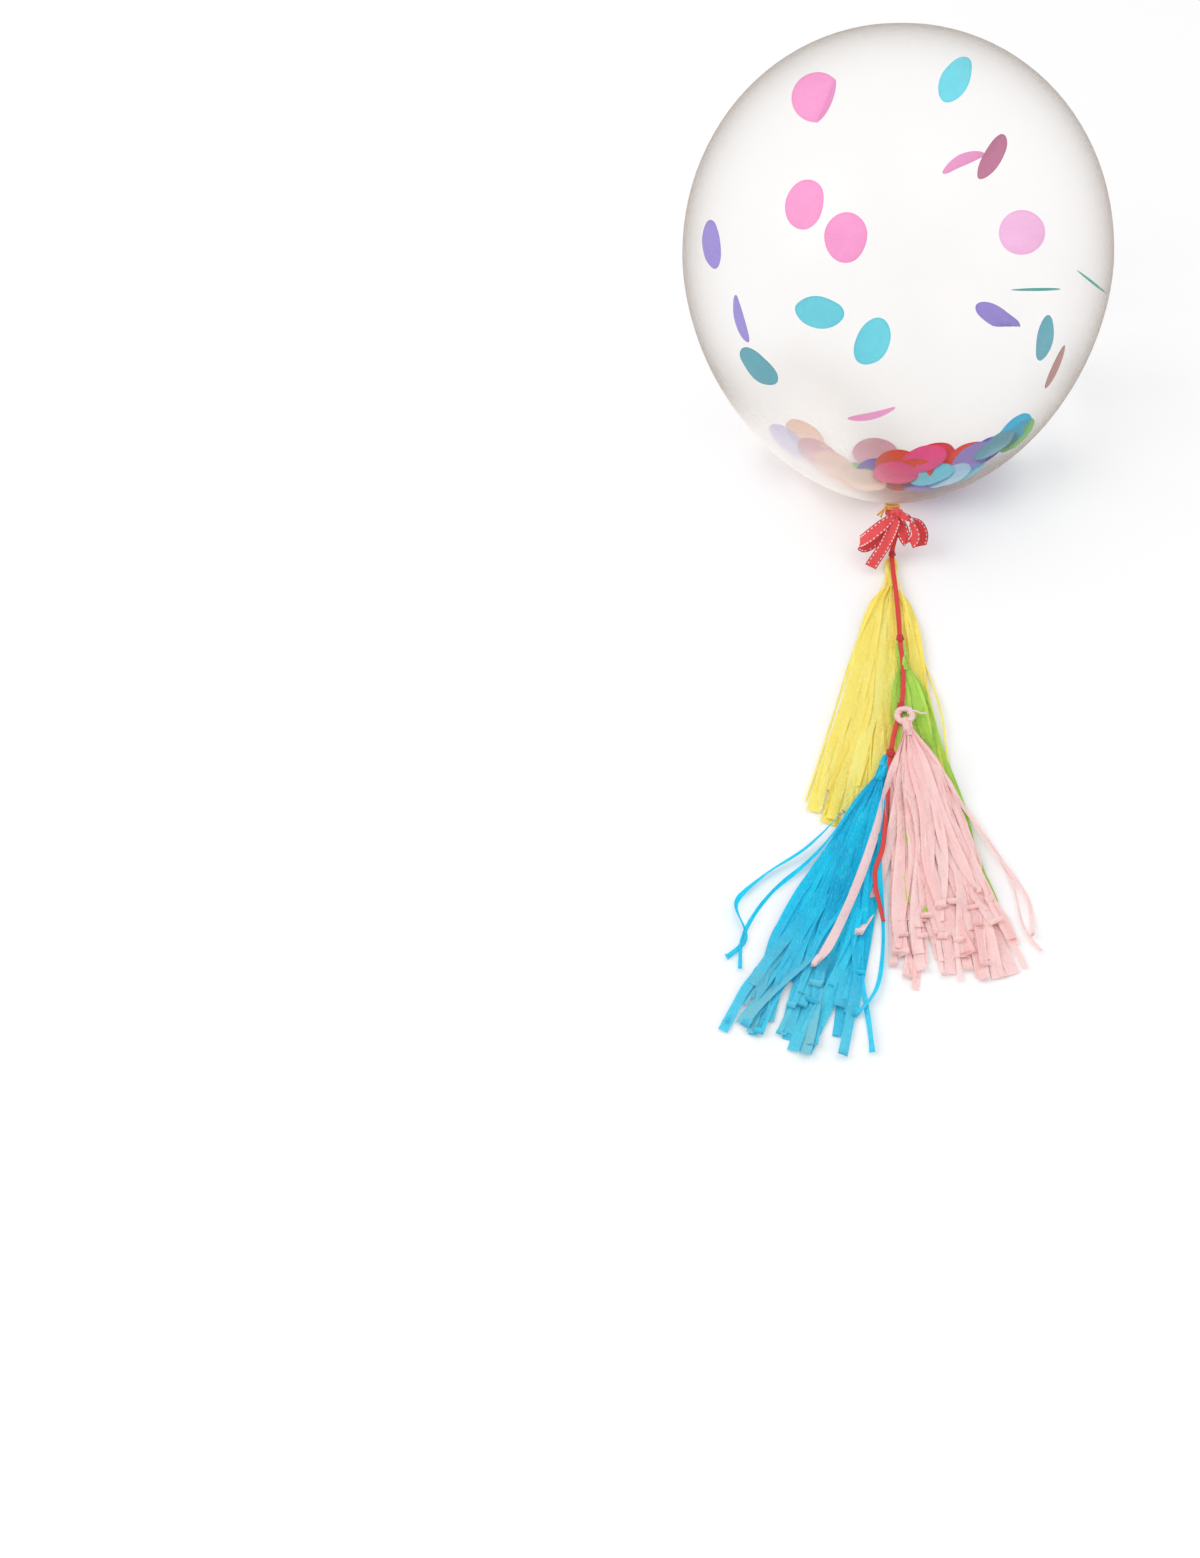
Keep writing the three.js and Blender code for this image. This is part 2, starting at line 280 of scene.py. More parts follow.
@dataclass(frozen=True)
class LatexFinish:
    """Clear latex: nothing to see face on, warm brown and dense where it is seen along the film."""

    name: str = "clear_latex"
    body: Colour = (0.25, 0.165, 0.1)
    milk: Colour = (0.98, 0.93, 0.89)
    face_on: float = 0.003
    edge_on: float = 1.0
    narrowness: float = 4.1
    gloss: tuple[float, float] = (0.014, 0.07)
    gloss_roughness: float = 0.3

    def material(self) -> bpy.types.Material:
        """Wires the film.

        Returns:
            The film's material.
        """
        shader = Shader(self.name)
        gather = shader.attribute("gather")
        facing = Value(shader, shader.node("ShaderNodeLayerWeight", None, {"Blend": 0.5}).outputs["Facing"])
        cloud = shader.noise(6.0, 2.0)
        streaks = shader.noise(60.0, 2.0, shader.stretched(shader.places(), (1.0, 0.12, 0.5)))
        ripple = shader.bump(cloud * 0.9 + streaks * 0.1, 0.0006, 0.05)
        haze = gather * (0.17 + 0.32 * cloud.step(0.1, 0.9))
        cover = (self.face_on + self.edge_on * facing**self.narrowness + haze).clamped()
        film = shader.node(
            "ShaderNodeBsdfPrincipled",
            None,
            {
                "Base Color": shader.mix(gather.step(0.05, 0.9), self.body, self.milk),
                "Roughness": 0.35,
                "IOR": 1.5,
            },
        )
        clear = shader.node("ShaderNodeBsdfTransparent", None, {"Color": (1.0, 0.997, 0.989)})
        gloss = shader.node(
            "ShaderNodeBsdfGlossy",
            None,
            {"Color": (1.0, 1.0, 1.0), "Roughness": self.gloss_roughness, "Normal": ripple},
        )
        low, rise = self.gloss
        inner = shader.blend(cover, clear, film)
        return shader.finish(shader.blend((low + rise * facing * facing).clamped(), inner, gloss))


@dataclass(frozen=True)
class TissueFinish:
    """Thin dyed tissue paper: light comes through it, fine creases, faint fibres, a paler worn edge, and a
    deep colour that follows the shade attribute: random tone, and painted shade on the tassels.
    """

    name: str
    colour: Colour
    # Colour at full shade: used for random tone and for painted shade.
    deep: Colour
    glow: float = 0.16
    crease: float = 0.0016
    ends: Colour | None = None

    def material(self) -> bpy.types.Material:
        """Wires the tissue.

        Returns:
            The tissue's material.
        """
        shader = Shader(self.name)
        where = shader.places()
        shade = shader.attribute("shade")
        fine = shader.noise(420.0, 4.0, where, 0.4)
        wide = shader.noise(26.0, 3.0, where, 0.8)
        fibres = shader.noise(900.0, 2.0, shader.stretched(where, (1.0, 0.16, 1.0)))
        folds = shader.node(
            "ShaderNodeTexVoronoi",
            {"feature": "DISTANCE_TO_EDGE"},
            {"Vector": where, "Scale": 85.0, "Randomness": 1.0},
        )
        crumple = Value(shader, folds.outputs[0]).step(0.0, 0.22)
        # Deep colour follows the shade attribute, which holds random tone and, on the tassels, painted shade
        # in the gathers, under the upper strips and on the head's folds; broad noise adds more random tone.
        tint = shader.mix((shade * 0.75 + wide.step(0.35, 0.7) * 0.25).clamped(), self.colour, self.deep)
        tint = shader.mix(shader.attribute("gather"), tint, self.ends or self.colour)
        tint = shader.mix(fibres.step(0.5, 0.75) * 0.1, tint, (1.0, 1.0, 1.0))
        relief = shader.bump(fine * 0.18 + crumple * 0.45 + wide * 0.5, self.crease, 0.7)
        paper = shader.node(
            "ShaderNodeBsdfPrincipled",
            None,
            {
                "Base Color": tint,
                "Roughness": 0.62 + 0.16 * fine,
                "Specular IOR Level": 0.28,
                "Sheen Weight": 0.12,
                "Sheen Roughness": 0.5,
                "Normal": relief,
            },
        )
        through = shader.node("ShaderNodeBsdfTranslucent", None, {"Color": self.colour, "Normal": relief})
        return shader.finish(shader.blend(self.glow, paper, through))


@dataclass(frozen=True)
class RibbonFinish:
    """Woven ribbon: fine ribs across it with a little painted shade in their grooves, a dark selvedge line
    along both edges and a soft sheen.
    """

    name: str
    colour: Colour
    edge: Colour
    ribs: float
    gloss: float
    edge_share: float = 0.06
    glow: float = 0.12

    def material(self) -> bpy.types.Material:
        """Wires the ribbon.

        Returns:
            The ribbon's material.
        """
        shader = Shader(self.name)
        where = shader.places("UV")
        split = shader.node("ShaderNodeSeparateXYZ", None, {"Vector": where})
        across = Value(shader, split.outputs[0])
        along = Value(shader, split.outputs[1])
        margin = (across - 0.5).absolute() * 2.0
        rim = margin.step(1.0 - 2.2 * self.edge_share, 1.0 - self.edge_share)
        ribs = (along * self.ribs).sine() * 0.5 + 0.5
        threads = (across * 150.0).sine() * 0.5 + 0.5
        wear = shader.noise(140.0, 4.0)
        tint = shader.mix(wear.step(0.35, 0.75) * 0.1, self.colour, self.edge)
        # The selvedge is the ribbon's own darker edge; the grooves between the ribs get a little painted
        # shade.
        tint = shader.mix((rim * 0.75 + (1.0 - ribs) * 0.08).clamped(), tint, self.edge)
        weave = shader.bump(ribs * 0.6 + threads * 0.25 + wear * 0.4 + rim * 0.6, 0.00022, 0.8)
        cloth = shader.node(
            "ShaderNodeBsdfPrincipled",
            None,
            {
                "Base Color": tint,
                "Roughness": self.gloss + 0.18 * wear,
                "Specular IOR Level": 0.5,
                "Sheen Weight": 0.35,
                "Sheen Roughness": 0.35,
                "Anisotropic": 0.5,
                "Normal": weave,
            },
        )
        through = shader.node("ShaderNodeBsdfTranslucent", None, {"Color": self.colour})
        return shader.finish(shader.blend(self.glow, cloth, through))


@dataclass(frozen=True)
class ThreadFinish:
    """Twisted thread: slanting strands, a little fuzz and a faint lustre."""

    name: str
    colour: Colour
    deep: Colour
    scale: float = 2400.0

    def material(self) -> bpy.types.Material:
        """Wires the thread.

        Returns:
            The thread's material.
        """
        shader = Shader(self.name)
        fuzz = shader.noise(self.scale, 3.0)
        patches = shader.noise(160.0, 2.0)
        tint = shader.mix((fuzz.step(0.4, 0.8) * 0.6 + patches * 0.3).clamped(), self.colour, self.deep)
        strand = shader.node(
            "ShaderNodeBsdfPrincipled",
            None,
            {
                "Base Color": tint,
                "Roughness": 0.42 + 0.25 * fuzz,
                "Sheen Weight": 0.4,
                "Sheen Roughness": 0.4,
                "Normal": shader.bump(fuzz, 0.0002, 0.6),
            },
        )
        return shader.finish(strand)


@dataclass(frozen=True)
class FloorFinish:
    """Plain pale floor."""

    name: str = "pale_floor"
    colour: Colour = (0.93, 0.925, 0.915)
    light: Colour = (1.0, 0.995, 0.99)
    glow: float = 0.03

    def material(self) -> bpy.types.Material:
        """Wires the floor.

        Returns:
            The floor's material.
        """
        shader = Shader(self.name)
        grain = shader.noise(3.0, 2.0)
        return shader.finish(
            shader.node(
                "ShaderNodeBsdfPrincipled",
                None,
                {
                    "Base Color": self.colour,
                    "Roughness": 0.8 + 0.1 * grain,
                    "Specular IOR Level": 0.1,
                    "Emission Color": self.light,
                    "Emission Strength": self.glow,
                },
            )
        )


# Mesh helpers


class Curve:
    """A smooth curve through points, by centripetal Catmull-Rom."""

    fine_steps: int = 600

    def __init__(self, points: Sequence[Sequence[float]]) -> None:
        """Stores the points.

        Args:
            points: places in order.
        """
        self.points = [Vector(point) for point in points]

    def at(self, share: float) -> Vector:
        """The place at a share of the way, counted in points.

        Args:
            share: from 0 at the first point to 1 at the last.

        Returns:
            The place.
        """
        last = len(self.points) - 1
        place = min(max(share, 0.0), 1.0) * last
        index = min(int(place), last - 1)
        step = place - index
        p1, p2 = self.points[index], self.points[index + 1]
        p0 = self.points[index - 1] if index else p1 * 2 - p2
        p3 = self.points[index + 2] if index + 2 <= last else p2 * 2 - p1
        d0, d1, d2 = (max((b - a).length ** 0.5, 1e-6) for a, b in ((p0, p1), (p1, p2), (p2, p3)))
        t1 = ((p1 - p0) / d0 - (p2 - p0) / (d0 + d1) + (p2 - p1) / d1) * d1
        t2 = ((p2 - p1) / d1 - (p3 - p1) / (d1 + d2) + (p3 - p2) / d2) * d1
        a = 2 * p1 - 2 * p2 + t1 + t2
        b = -3 * p1 + 3 * p2 - 2 * t1 - t2
        return ((a * step + b) * step + t1) * step + p1

    def heading(self, share: float) -> Vector:
        """The direction at a share of the way."""
        low, high = max(share - 0.002, 0.0), min(share + 0.002, 1.0)
        return (self.at(high) - self.at(low)).normalized()

    def even(self, count: int) -> list[Vector]:
        """Places evenly spaced along it.

        Args:
            count: how many.

        Returns:
            The places, both ends included.
        """
        fine = self._fine()
        runs = [0.0]
        for first, second in zip(fine, fine[1:]):
            runs.append(runs[-1] + (second - first).length)
        places, index = [], 0
        for step in range(count):
            goal = runs[-1] * step / (count - 1)
            while index < len(runs) - 2 and runs[index + 1] < goal:
                index += 1
            part = (goal - runs[index]) / max(runs[index + 1] - runs[index], 1e-9)
            places.append(fine[index].lerp(fine[index + 1], min(part, 1.0)))
        return places

    def length(self) -> float:
        """How long it is."""
        return run_length(self._fine())

    def _fine(self) -> list[Vector]:
        """Many places along it."""
        return [self.at(step / self.fine_steps) for step in range(self.fine_steps + 1)]


class Piece:
    """A mesh in the making: shapes are added to it, then it becomes one object."""

    def __init__(self, name: str) -> None:
        """Starts an empty mesh.

        Args:
            name: the object's name.
        """
        self.name = name
        self.mesh = bmesh.new()
        self.uv = self.mesh.loops.layers.uv.new("UVMap")
        self.shade = self.mesh.verts.layers.float.new("shade")
        self.gather = self.mesh.verts.layers.float.new("gather")

    def grid(
        self,
        columns: int,
        rows: int,
        place: Callable[[float, float], Vector],
        shade: Callable[[float, float], float] | float = 0.0,
        closed: bool = False,
    ) -> list[bmesh.types.BMVert]:
        """Adds a grid bent onto a surface.

        Args:
            columns: faces across.
            rows: faces along.
            place: where shares across and along go.
            shade: depth of colour there, 0 to 1, from random tone and from painted shade.
            closed: whether the first and last columns meet, as in a tube.

        Returns:
            The vertices.
        """
        made = bmesh.ops.create_grid(self.mesh, x_segments=columns, y_segments=rows, size=0.5)["verts"]
        faces = {face for vert in made for face in vert.link_faces}
        for face in faces:
            face.smooth = True
            for loop in face.loops:
                loop[self.uv].uv = (loop.vert.co.x + 0.5, loop.vert.co.y + 0.5)
        for vert in made:
            across, along = vert.co.x + 0.5, vert.co.y + 0.5
            vert[self.shade] = shade(across, along) if callable(shade) else shade
            vert.co = place(across, along)
        if closed:
            bmesh.ops.remove_doubles(self.mesh, verts=made, dist=1e-6)
            made = [vert for vert in made if vert.is_valid]
        return made

    def tube(
        self,
        path: Sequence[Vector],
        sides: int,
        radius: Callable[[float, float], float],
        flatness: float = 1.0,
        twist: float = 0.0,
        shade: Callable[[float, float], float] | float = 0.0,
    ) -> None:
        """Adds a closed tube along a path, with domed ends.

        Args:
            path: places along its middle.
            sides: faces around.
            radius: its radius at a turn in radians and a share along.
            flatness: thickness as a share of its width.
            twist: turns of the section from end to end.
            shade: depth of colour, from random tone and from painted shade.
        """
        up = Vector((0.0, 0.0, 1.0))
        rows = len(path) - 1
        frames = []
        for index, middle in enumerate(path):
            ahead = (path[min(index + 1, rows)] - path[max(index - 1, 0)]).normalized()
            side = ahead.cross(up)
            side = side.normalized() if side.length > 1e-4 else ahead.orthogonal().normalized()
            if frames and side.dot(frames[-1][1]) < 0:
                side = -side
            frames.append((middle, side, side.cross(ahead).normalized()))

        def place(across: float, along: float) -> Vector:
            """Where a place of the flat grid goes.

            Args:
                across: share of a turn round the tube.
                along: share of its length.

            Returns:
                The place.
            """
            index = min(int(round(along * rows)), rows)
            middle, side, top = frames[index]
            turn = 2 * math.pi * (across % 1.0)
            size = radius(turn, along)
            flat = Vector((math.cos(turn) * size, math.sin(turn) * size * flatness))
            roll = 2 * math.pi * twist * along
            cosine, sine = math.cos(roll), math.sin(roll)
            flat = Vector((flat.x * cosine - flat.y * sine, flat.x * sine + flat.y * cosine))
            return middle + side * flat.x + top * flat.y

        made = self.grid(sides, rows, place, shade, closed=True)
        holes = [edge for edge in {edge for vert in made for edge in vert.link_edges} if edge.is_boundary]
        caps = bmesh.ops.holes_fill(self.mesh, edges=holes, sides=0)["faces"]
        size = radius(0.0, 0.0)
        bmesh.ops.inset_region(self.mesh, faces=caps, thickness=size * 0.3, depth=size * 0.2)

    def ball(
        self, middle: Vector, size: Vector, turn: Matrix, detail: tuple[int, int]
    ) -> list[bmesh.types.BMVert]:
        """Adds a rounded lump.

        Args:
            middle: its centre.
            size: its half sizes.
            turn: its rotation.
            detail: faces around and from pole to pole.

        Returns:
            The vertices.
        """
        around, down = detail
        made = bmesh.ops.create_uvsphere(self.mesh, u_segments=around, v_segments=down, radius=1.0)["verts"]
        bmesh.ops.scale(self.mesh, vec=size, verts=made)
        bmesh.ops.transform(self.mesh, matrix=Matrix.Translation(middle) @ turn.to_4x4(), verts=made)
        for face in {face for vert in made for face in vert.link_faces}:
            face.smooth = True
        return made

    def finish(
        self,
        material: bpy.types.Material,
        slot: str,
        nodes: Sequence[str] = (),
        recalculate: bool = False,
        thickness: float = 0.0,
    ) -> bpy.types.Object:
        """Turns the mesh into an object that rides on the part.

        Args:
            material: its finish.
            slot: a slot name for the finish; it is not used.
            nodes: CAD nodes that it stands for.
            recalculate: whether faces are turned outwards.
            thickness: wall added on both sides of a single sheet.

        Returns:
            The object.
        """
        if recalculate:
            bmesh.ops.recalc_face_normals(self.mesh, faces=self.mesh.faces)
        data = bpy.data.meshes.new(self.name)
        self.mesh.to_mesh(data)
        self.mesh.free()
        data.materials.append(material)
        made = bpy.data.objects.new(self.name, data)
        bpy.context.scene.collection.objects.link(made)
        if thickness:
            wall = made.modifiers.new("wall", "SOLIDIFY")
            wall.thickness, wall.offset = thickness, 0.0
        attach(made, "root")
        if nodes:
            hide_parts(*nodes)
        log.info("%s: %d faces", self.name, len(data.polygons))
        return made


def run_length(places: Sequence[Vector]) -> float:
    """Length of the straight runs between places."""
    return sum((second - first).length for first, second in zip(places, places[1:]))


def smooth(value: float, low: float = 0.0, high: float = 1.0) -> float:
    """A smooth step from 0 at low to 1 at high."""
    share = min(max((value - low) / (high - low), 0.0), 1.0)
    return share * share * (3 - 2 * share)


def mixed(first: float, second: float, share: float) -> float:
    """A number between two."""
    return first + (second - first) * share


# The balloon's shape and place


@dataclass(frozen=True)
class BalloonShape:
    """Outline of the balloon round its axis, and how it lies on the ground. Metres."""

    radius: float = 0.3
    crown: float = 0.317
    drop: float = 0.349
    crown_fullness: float = 2.05
    neck_fullness: float = 1.85
    tilt: float = math.radians(46)
    flat_depth: float = 0.009
    throat: float = 0.008
    throat_length: float = 0.022
    mouth: float = 0.011
    mouth_length: float = 0.008
    rim: float = 0.002
    floor_press: float = 4.0

    def drop_point(self, angle: float) -> tuple[float, float]:
        """Radius and drop of the lower outline at an angle from 0 to a quarter turn."""
        power = 2 / self.neck_fullness
        return self.radius * math.cos(angle) ** power, self.drop * math.sin(angle) ** power

    def rest(self) -> tuple[float, float]:
        """Finds the lowest place of the tilted body.

        Returns:
            How far it is below the middle, and forward of it.
        """
        best = (0.0, 0.0)
        for index in range(360):
            radius, drop = self.drop_point(math.pi / 2 * index / 360)
            depth = drop * math.cos(self.tilt) + radius * math.sin(self.tilt)
            if depth > best[0]:
                best = (depth, drop * math.sin(self.tilt) - radius * math.cos(self.tilt))
        return best

    def frame(self) -> Matrix:
        """Tilts the balloon and sets it down.

        Returns:
            From the balloon's own frame, axis along Y, to the ground's.
        """
        depth, forward = self.rest()
        turn = Matrix.Rotation(math.pi / 2 - self.tilt, 4, "X")
        return Matrix.Translation((0.0, forward, depth - self.flat_depth)) @ turn

    def fullness_at(self, point: Vector) -> float:
        """How far out a place is, by the outline's own formula.

        Args:
            point: a place in the ground's frame.

        Returns:
            Below 1 inside the balloon and above it outside or under the ground.
        """
        local = self.frame_back @ point
        if local.y > 0:
            reach, power = self.crown, self.crown_fullness
        else:
            reach, power = self.drop, self.neck_fullness
        around = math.hypot(local.x, local.z)
        body = (abs(local.y) / reach) ** power + (around / self.radius) ** power
        return max(body, 1.0 - self.floor_press * point.z) if point.z < 0.0 else body

    @cached_property
    def frame_back(self) -> Matrix:
        """From the ground's frame to the balloon's own."""
        return self.frame().inverted()

    def outward(self, point: Vector) -> Vector:
        """The way out through the film.

        Args:
            point: a place near the film.

        Returns:
            The direction straight out of it.
        """
        step = 0.001
        slope = Vector(
            [
                self.fullness_at(point + Vector(axis) * step) - self.fullness_at(point - Vector(axis) * step)
                for axis in ((1, 0, 0), (0, 1, 0), (0, 0, 1))
            ]
        )
        return slope.normalized()

    def walls(self, start: Vector, heading: Vector) -> list[Vector]:
        """Where a straight line goes through the film.

        Args:
            start: a point of the line, outside the balloon.
            heading: its direction.

        Returns:
            The places in order along the line.
        """
        found, steps = [], 400
        middle = (self.centre() - start).dot(heading)
        low, high = middle - 0.5, middle + 0.5
        before = self.fullness_at(start + heading * low) - 1
        for index in range(1, steps + 1):
            far = low + (high - low) * index / steps
            after = self.fullness_at(start + heading * far) - 1
            if before * after < 0:
                near, end = far - (high - low) / steps, far
                for _ in range(20):
                    half = (near + end) / 2
                    inside = self.fullness_at(start + heading * half) - 1
                    near, end = (half, end) if inside * before > 0 else (near, half)
                found.append(start + heading * near)
            before = after
        return found

    def centre(self) -> Vector:
        """Middle of the widest ring."""
        return self.frame().translation

    def tie(self) -> Vector:
        """The tied neck."""
        return self.frame() @ Vector((0.0, -self.drop, 0.0))


SHAPE = BalloonShape()


@dataclass
class View:
    """The camera, and the photograph's own places in space."""

    elevation: float = math.radians(61)
    lens: float = 85.0
    sensor: float = 36.0
    metres_a_dot: float = 0.001395
    image: tuple[int, int] = (1200, 1558)
    balloon_at: tuple[float, float] = (897.5, 255.0)

    def __post_init__(self) -> None:
        """Works out the directions of the view."""
        e = self.elevation
        self.ahead = Vector((0.0, math.cos(e), -math.sin(e)))
        self.up = Vector((0.0, math.sin(e), math.cos(e)))
        self.right = Vector((1.0, 0.0, 0.0))
        self.distance = self.metres_a_dot * self.image[1] * self.lens / self.sensor
        self.aim = self.at(self.image[0] / 2, self.image[1] / 2)
        self.place = self.aim - self.ahead * self.distance

    def at(self, right: float, down: float) -> Vector:
        """The place of an image point, level with the balloon's middle.

        Args:
            right: its column in the image.
            down: its row.

        Returns:
            The place.
        """
        x = (right - self.balloon_at[0]) * self.metres_a_dot
        y = (down - self.balloon_at[1]) * self.metres_a_dot
        return SHAPE.centre() + self.right * x - self.up * y

    def ray(self, right: float, down: float) -> Vector:
        """Direction from the camera through an image point."""
        return (self.at(right, down) - self.place).normalized()

    def build(self) -> None:
        """Makes the camera."""
        data = bpy.data.cameras.new("camera")
        data.lens, data.sensor_width = self.lens, self.sensor
        data.clip_start, data.clip_end = 0.1, 60.0
        camera = bpy.data.objects.new("camera", data)
        turn = self.ahead.to_track_quat("-Z", "Y").to_matrix().to_4x4()
        camera.matrix_world = Matrix.Translation(self.place) @ turn
        bpy.context.scene.collection.objects.link(camera)
        bpy.context.scene.camera = camera


@dataclass(frozen=True)
class Lamp:
    """One soft light that faces the part: its place, size, watts and colour."""

    name: str
    place: tuple[float, float, float]
    size: tuple[float, float]
    power: float
    colour: Colour

    def build(self, aim: Vector) -> None:
        """Makes the light.

        Args:
            aim: where it points.
        """
        data = bpy.data.lights.new(self.name, "AREA")
        data.shape, data.size, data.size_y = "RECTANGLE", *self.size
        data.energy, data.color = self.power, self.colour
        lamp = bpy.data.objects.new(self.name, data)
        turn = (aim - Vector(self.place)).to_track_quat("-Z", "Y").to_matrix().to_4x4()
        lamp.matrix_world = Matrix.Translation(self.place) @ turn
        bpy.context.scene.collection.objects.link(lamp)


@dataclass
class Studio:
    """Floor, sky and lights."""

    floor_size: float = 40.0
    sky: Colour = (0.96, 0.97, 1.0)
    sky_strength: float = 0.76
    aim: tuple[float, float, float] = (0.0, -0.2, 0.1)
    lamps: tuple[Lamp, ...] = (
        Lamp("window", (-3.2, -0.6, 3.6), (2.6, 3.4), 66.0, (1.0, 0.985, 0.965)),
        Lamp("ceiling", (0.9, -0.2, 4.6), (3.0, 2.4), 34.0, (1.0, 1.0, 1.0)),
        Lamp("fill", (3.4, -2.6, 2.0), (2.0, 2.0), 15.0, (0.96, 0.98, 1.0)),
    )

    def build(self) -> None:
        """Makes the floor, the sky and the lights."""
        mesh = bmesh.new()
        bmesh.ops.create_grid(mesh, x_segments=1, y_segments=1, size=self.floor_size / 2)
        data = bpy.data.meshes.new("floor")
        mesh.to_mesh(data)
        mesh.free()
        data.materials.append(FloorFinish().material())
        floor = bpy.data.objects.new("floor", data)
        bpy.context.scene.collection.objects.link(floor)
        world = bpy.data.worlds.new("studio")
        bpy.context.scene.world = world
        world.use_nodes = True
        background = world.node_tree.nodes["Background"]
        background.inputs[0].default_value = (*self.sky, 1.0)
        background.inputs[1].default_value = self.sky_strength
        for lamp in self.lamps:
            lamp.build(Vector(self.aim))
        bpy.context.scene.view_settings.view_transform = "Standard"


# The balloon


@dataclass
class Film:
    """The blown film: a smooth drop, gathered to pleats at the neck, with a flared and rolled mouth."""

    sides: int = 128
    crown_steps: int = 26
    drop_steps: int = 56
    pleats: int = 9
    pleat_depth: float = 0.16
    pleat_reach: float = 0.045
    unevenness: float = 0.001
    settle: float = 0.006

    def outline(self) -> list[tuple[float, float]]:
        """Half the film's section, which is spun round the axis.

        Returns:
            Radius and height, from the crown to the inside of the mouth.
        """
        shape = SHAPE
        points = []
        for step in range(self.crown_steps + 1):
            angle = math.pi / 2 * (1 - step / self.crown_steps)
            power = 2 / shape.crown_fullness
            radius = shape.radius * max(math.cos(angle), 0.0) ** power
            points.append((radius, shape.crown * math.sin(angle) ** power))
        last = math.acos((shape.throat * 1.15 / shape.radius) ** (shape.neck_fullness / 2))
        for step in range(1, self.drop_steps + 1):
            radius, drop = shape.drop_point(last * (1 - (1 - step / self.drop_steps) ** 1.35))
            points.append((radius, -drop))
        start, end = shape.drop + shape.throat_length, shape.drop + shape.throat_length + shape.mouth_length
        points += [
            (shape.throat, -shape.drop - 0.002),
            (shape.throat * 0.86, -shape.drop - 0.006),
            (shape.throat * 0.9, -shape.drop - 0.012),
            (shape.throat, -start + 0.004),
            (shape.mouth * 0.95, -start - 0.002),
            (shape.mouth, -end + 0.003),
            (shape.mouth + 0.8 * shape.rim, -end + 0.0026),
            (shape.mouth + shape.rim, -end + 0.0014),
            (shape.mouth + 0.8 * shape.rim, -end + 0.0003),
            (shape.mouth, -end),
            (shape.mouth - 0.6 * shape.rim, -end + 0.001),
            (shape.mouth * 0.78, -start - 0.001),
            (shape.throat * 0.55, -start + 0.004),
            (0.0, -start + 0.008),
        ]
        return points

    def build(self) -> bpy.types.Object:
        """Makes the film.

        Returns:
            The object.
        """
        piece = Piece("balloon_film")
        mesh = piece.mesh
        outline = self.outline()
        chain = [mesh.verts.new((radius, height, 0.0)) for radius, height in outline]
        edges = [mesh.edges.new(pair) for pair in zip(chain, chain[1:])]
        bmesh.ops.spin(
            mesh,
            geom=[*chain, *edges],
            cent=(0, 0, 0),
            axis=(0, 1, 0),
            angle=2 * math.pi,
            steps=self.sides,
            use_merge=True,
        )
        bmesh.ops.remove_doubles(mesh, verts=mesh.verts, dist=1e-6)
        shape, turn = SHAPE, SHAPE.frame()
        for vert in mesh.verts:
            x, y, z = vert.co
            around = math.hypot(x, z)
            below = -y
            near = 1 - smooth(around, shape.throat, self.pleat_reach) if below > 0 else 0.0
            angle = math.atan2(z, x)
            fold = math.cos(self.pleats * angle + 1.7 * math.sin(2 * angle))
            fold += 0.4 * math.cos(17 * angle + 1.0)
            depth = self.pleat_depth * near * (1.0 if below < shape.drop + shape.throat_length else 0.45)
            scale = 1.0 + depth * fold * 0.7
            left = smooth(-x, -0.06, 0.13)
            milky = smooth(below, 0.17 - 0.05 * left, shape.drop - 0.04 * left)
            vert[piece.gather] = milky * (0.16 + 0.95 * left)
            soft = noise.noise(Vector((x, y, z)) * 5.0) * self.unevenness * (1 - near)
            soft *= smooth(around, 0.0, 0.05)
            pushed = Vector((x * scale, y, z * scale)) + (Vector((x, y, z)).normalized() * soft)
            placed = turn @ pushed
            placed.z = (placed.z + math.hypot(placed.z, self.settle)) / 2
            vert.co = placed
        for face in mesh.faces:
            face.smooth = True
        film = piece.finish(LatexFinish().material(), "clear_latex", ["balloon"], recalculate=True)
        film.visible_shadow = False
        return film


class Tint(Enum):
    """Colours of the confetti's tissue: its light and its deep colour."""

    PINK = ((0.97, 0.36, 0.68), (0.88, 0.24, 0.5))
    LIGHT_PINK = ((0.98, 0.55, 0.84), (0.9, 0.38, 0.68))
    CYAN = ((0.18, 0.76, 0.88), (0.08, 0.58, 0.74))
    TEAL = ((0.13, 0.44, 0.53), (0.07, 0.3, 0.38))
    LILAC = ((0.36, 0.28, 0.75), (0.24, 0.18, 0.58))
    ROSE = ((0.6, 0.2, 0.34), (0.45, 0.12, 0.22))
    HOT_PINK = ((0.92, 0.06, 0.3), (0.75, 0.03, 0.2))
    ORANGE = ((0.83, 0.045, 0.012), (0.6, 0.02, 0.01))
    RED = ((0.75, 0.02, 0.03), (0.5, 0.01, 0.02))
    PURPLE = ((0.16, 0.06, 0.55), (0.09, 0.03, 0.36))
    BLUE = ((0.0, 0.46, 0.74), (0.0, 0.34, 0.6))
    GREEN = ((0.16, 0.55, 0.12), (0.08, 0.38, 0.06))
    PEACH = ((0.93, 0.66, 0.53), (0.86, 0.55, 0.43))
    PALE_LILAC = ((0.72, 0.68, 0.88), (0.6, 0.56, 0.78))
    SEA = ((0.02, 0.44, 0.36), (0.01, 0.32, 0.27))
    TAN_ROSE = ((0.5, 0.26, 0.24), (0.38, 0.16, 0.15))
    MAUVE = ((0.78, 0.42, 0.5), (0.66, 0.32, 0.42))
    PALE_BLUE = ((0.5, 0.76, 0.92), (0.35, 0.6, 0.82))


@dataclass(frozen=True)
class Disc:
    """One confetti disc: where it shows in the photograph and how far it is turned."""

    at: tuple[float, float]
    tint: Tint
    open: float
    lean: float
    bend: float = 0.0
    fold: float = 0.0
    fold_side: float = 0.0
    size: float = 1.0
    cup: float = 0.0
    fold_angle: float = 2.75


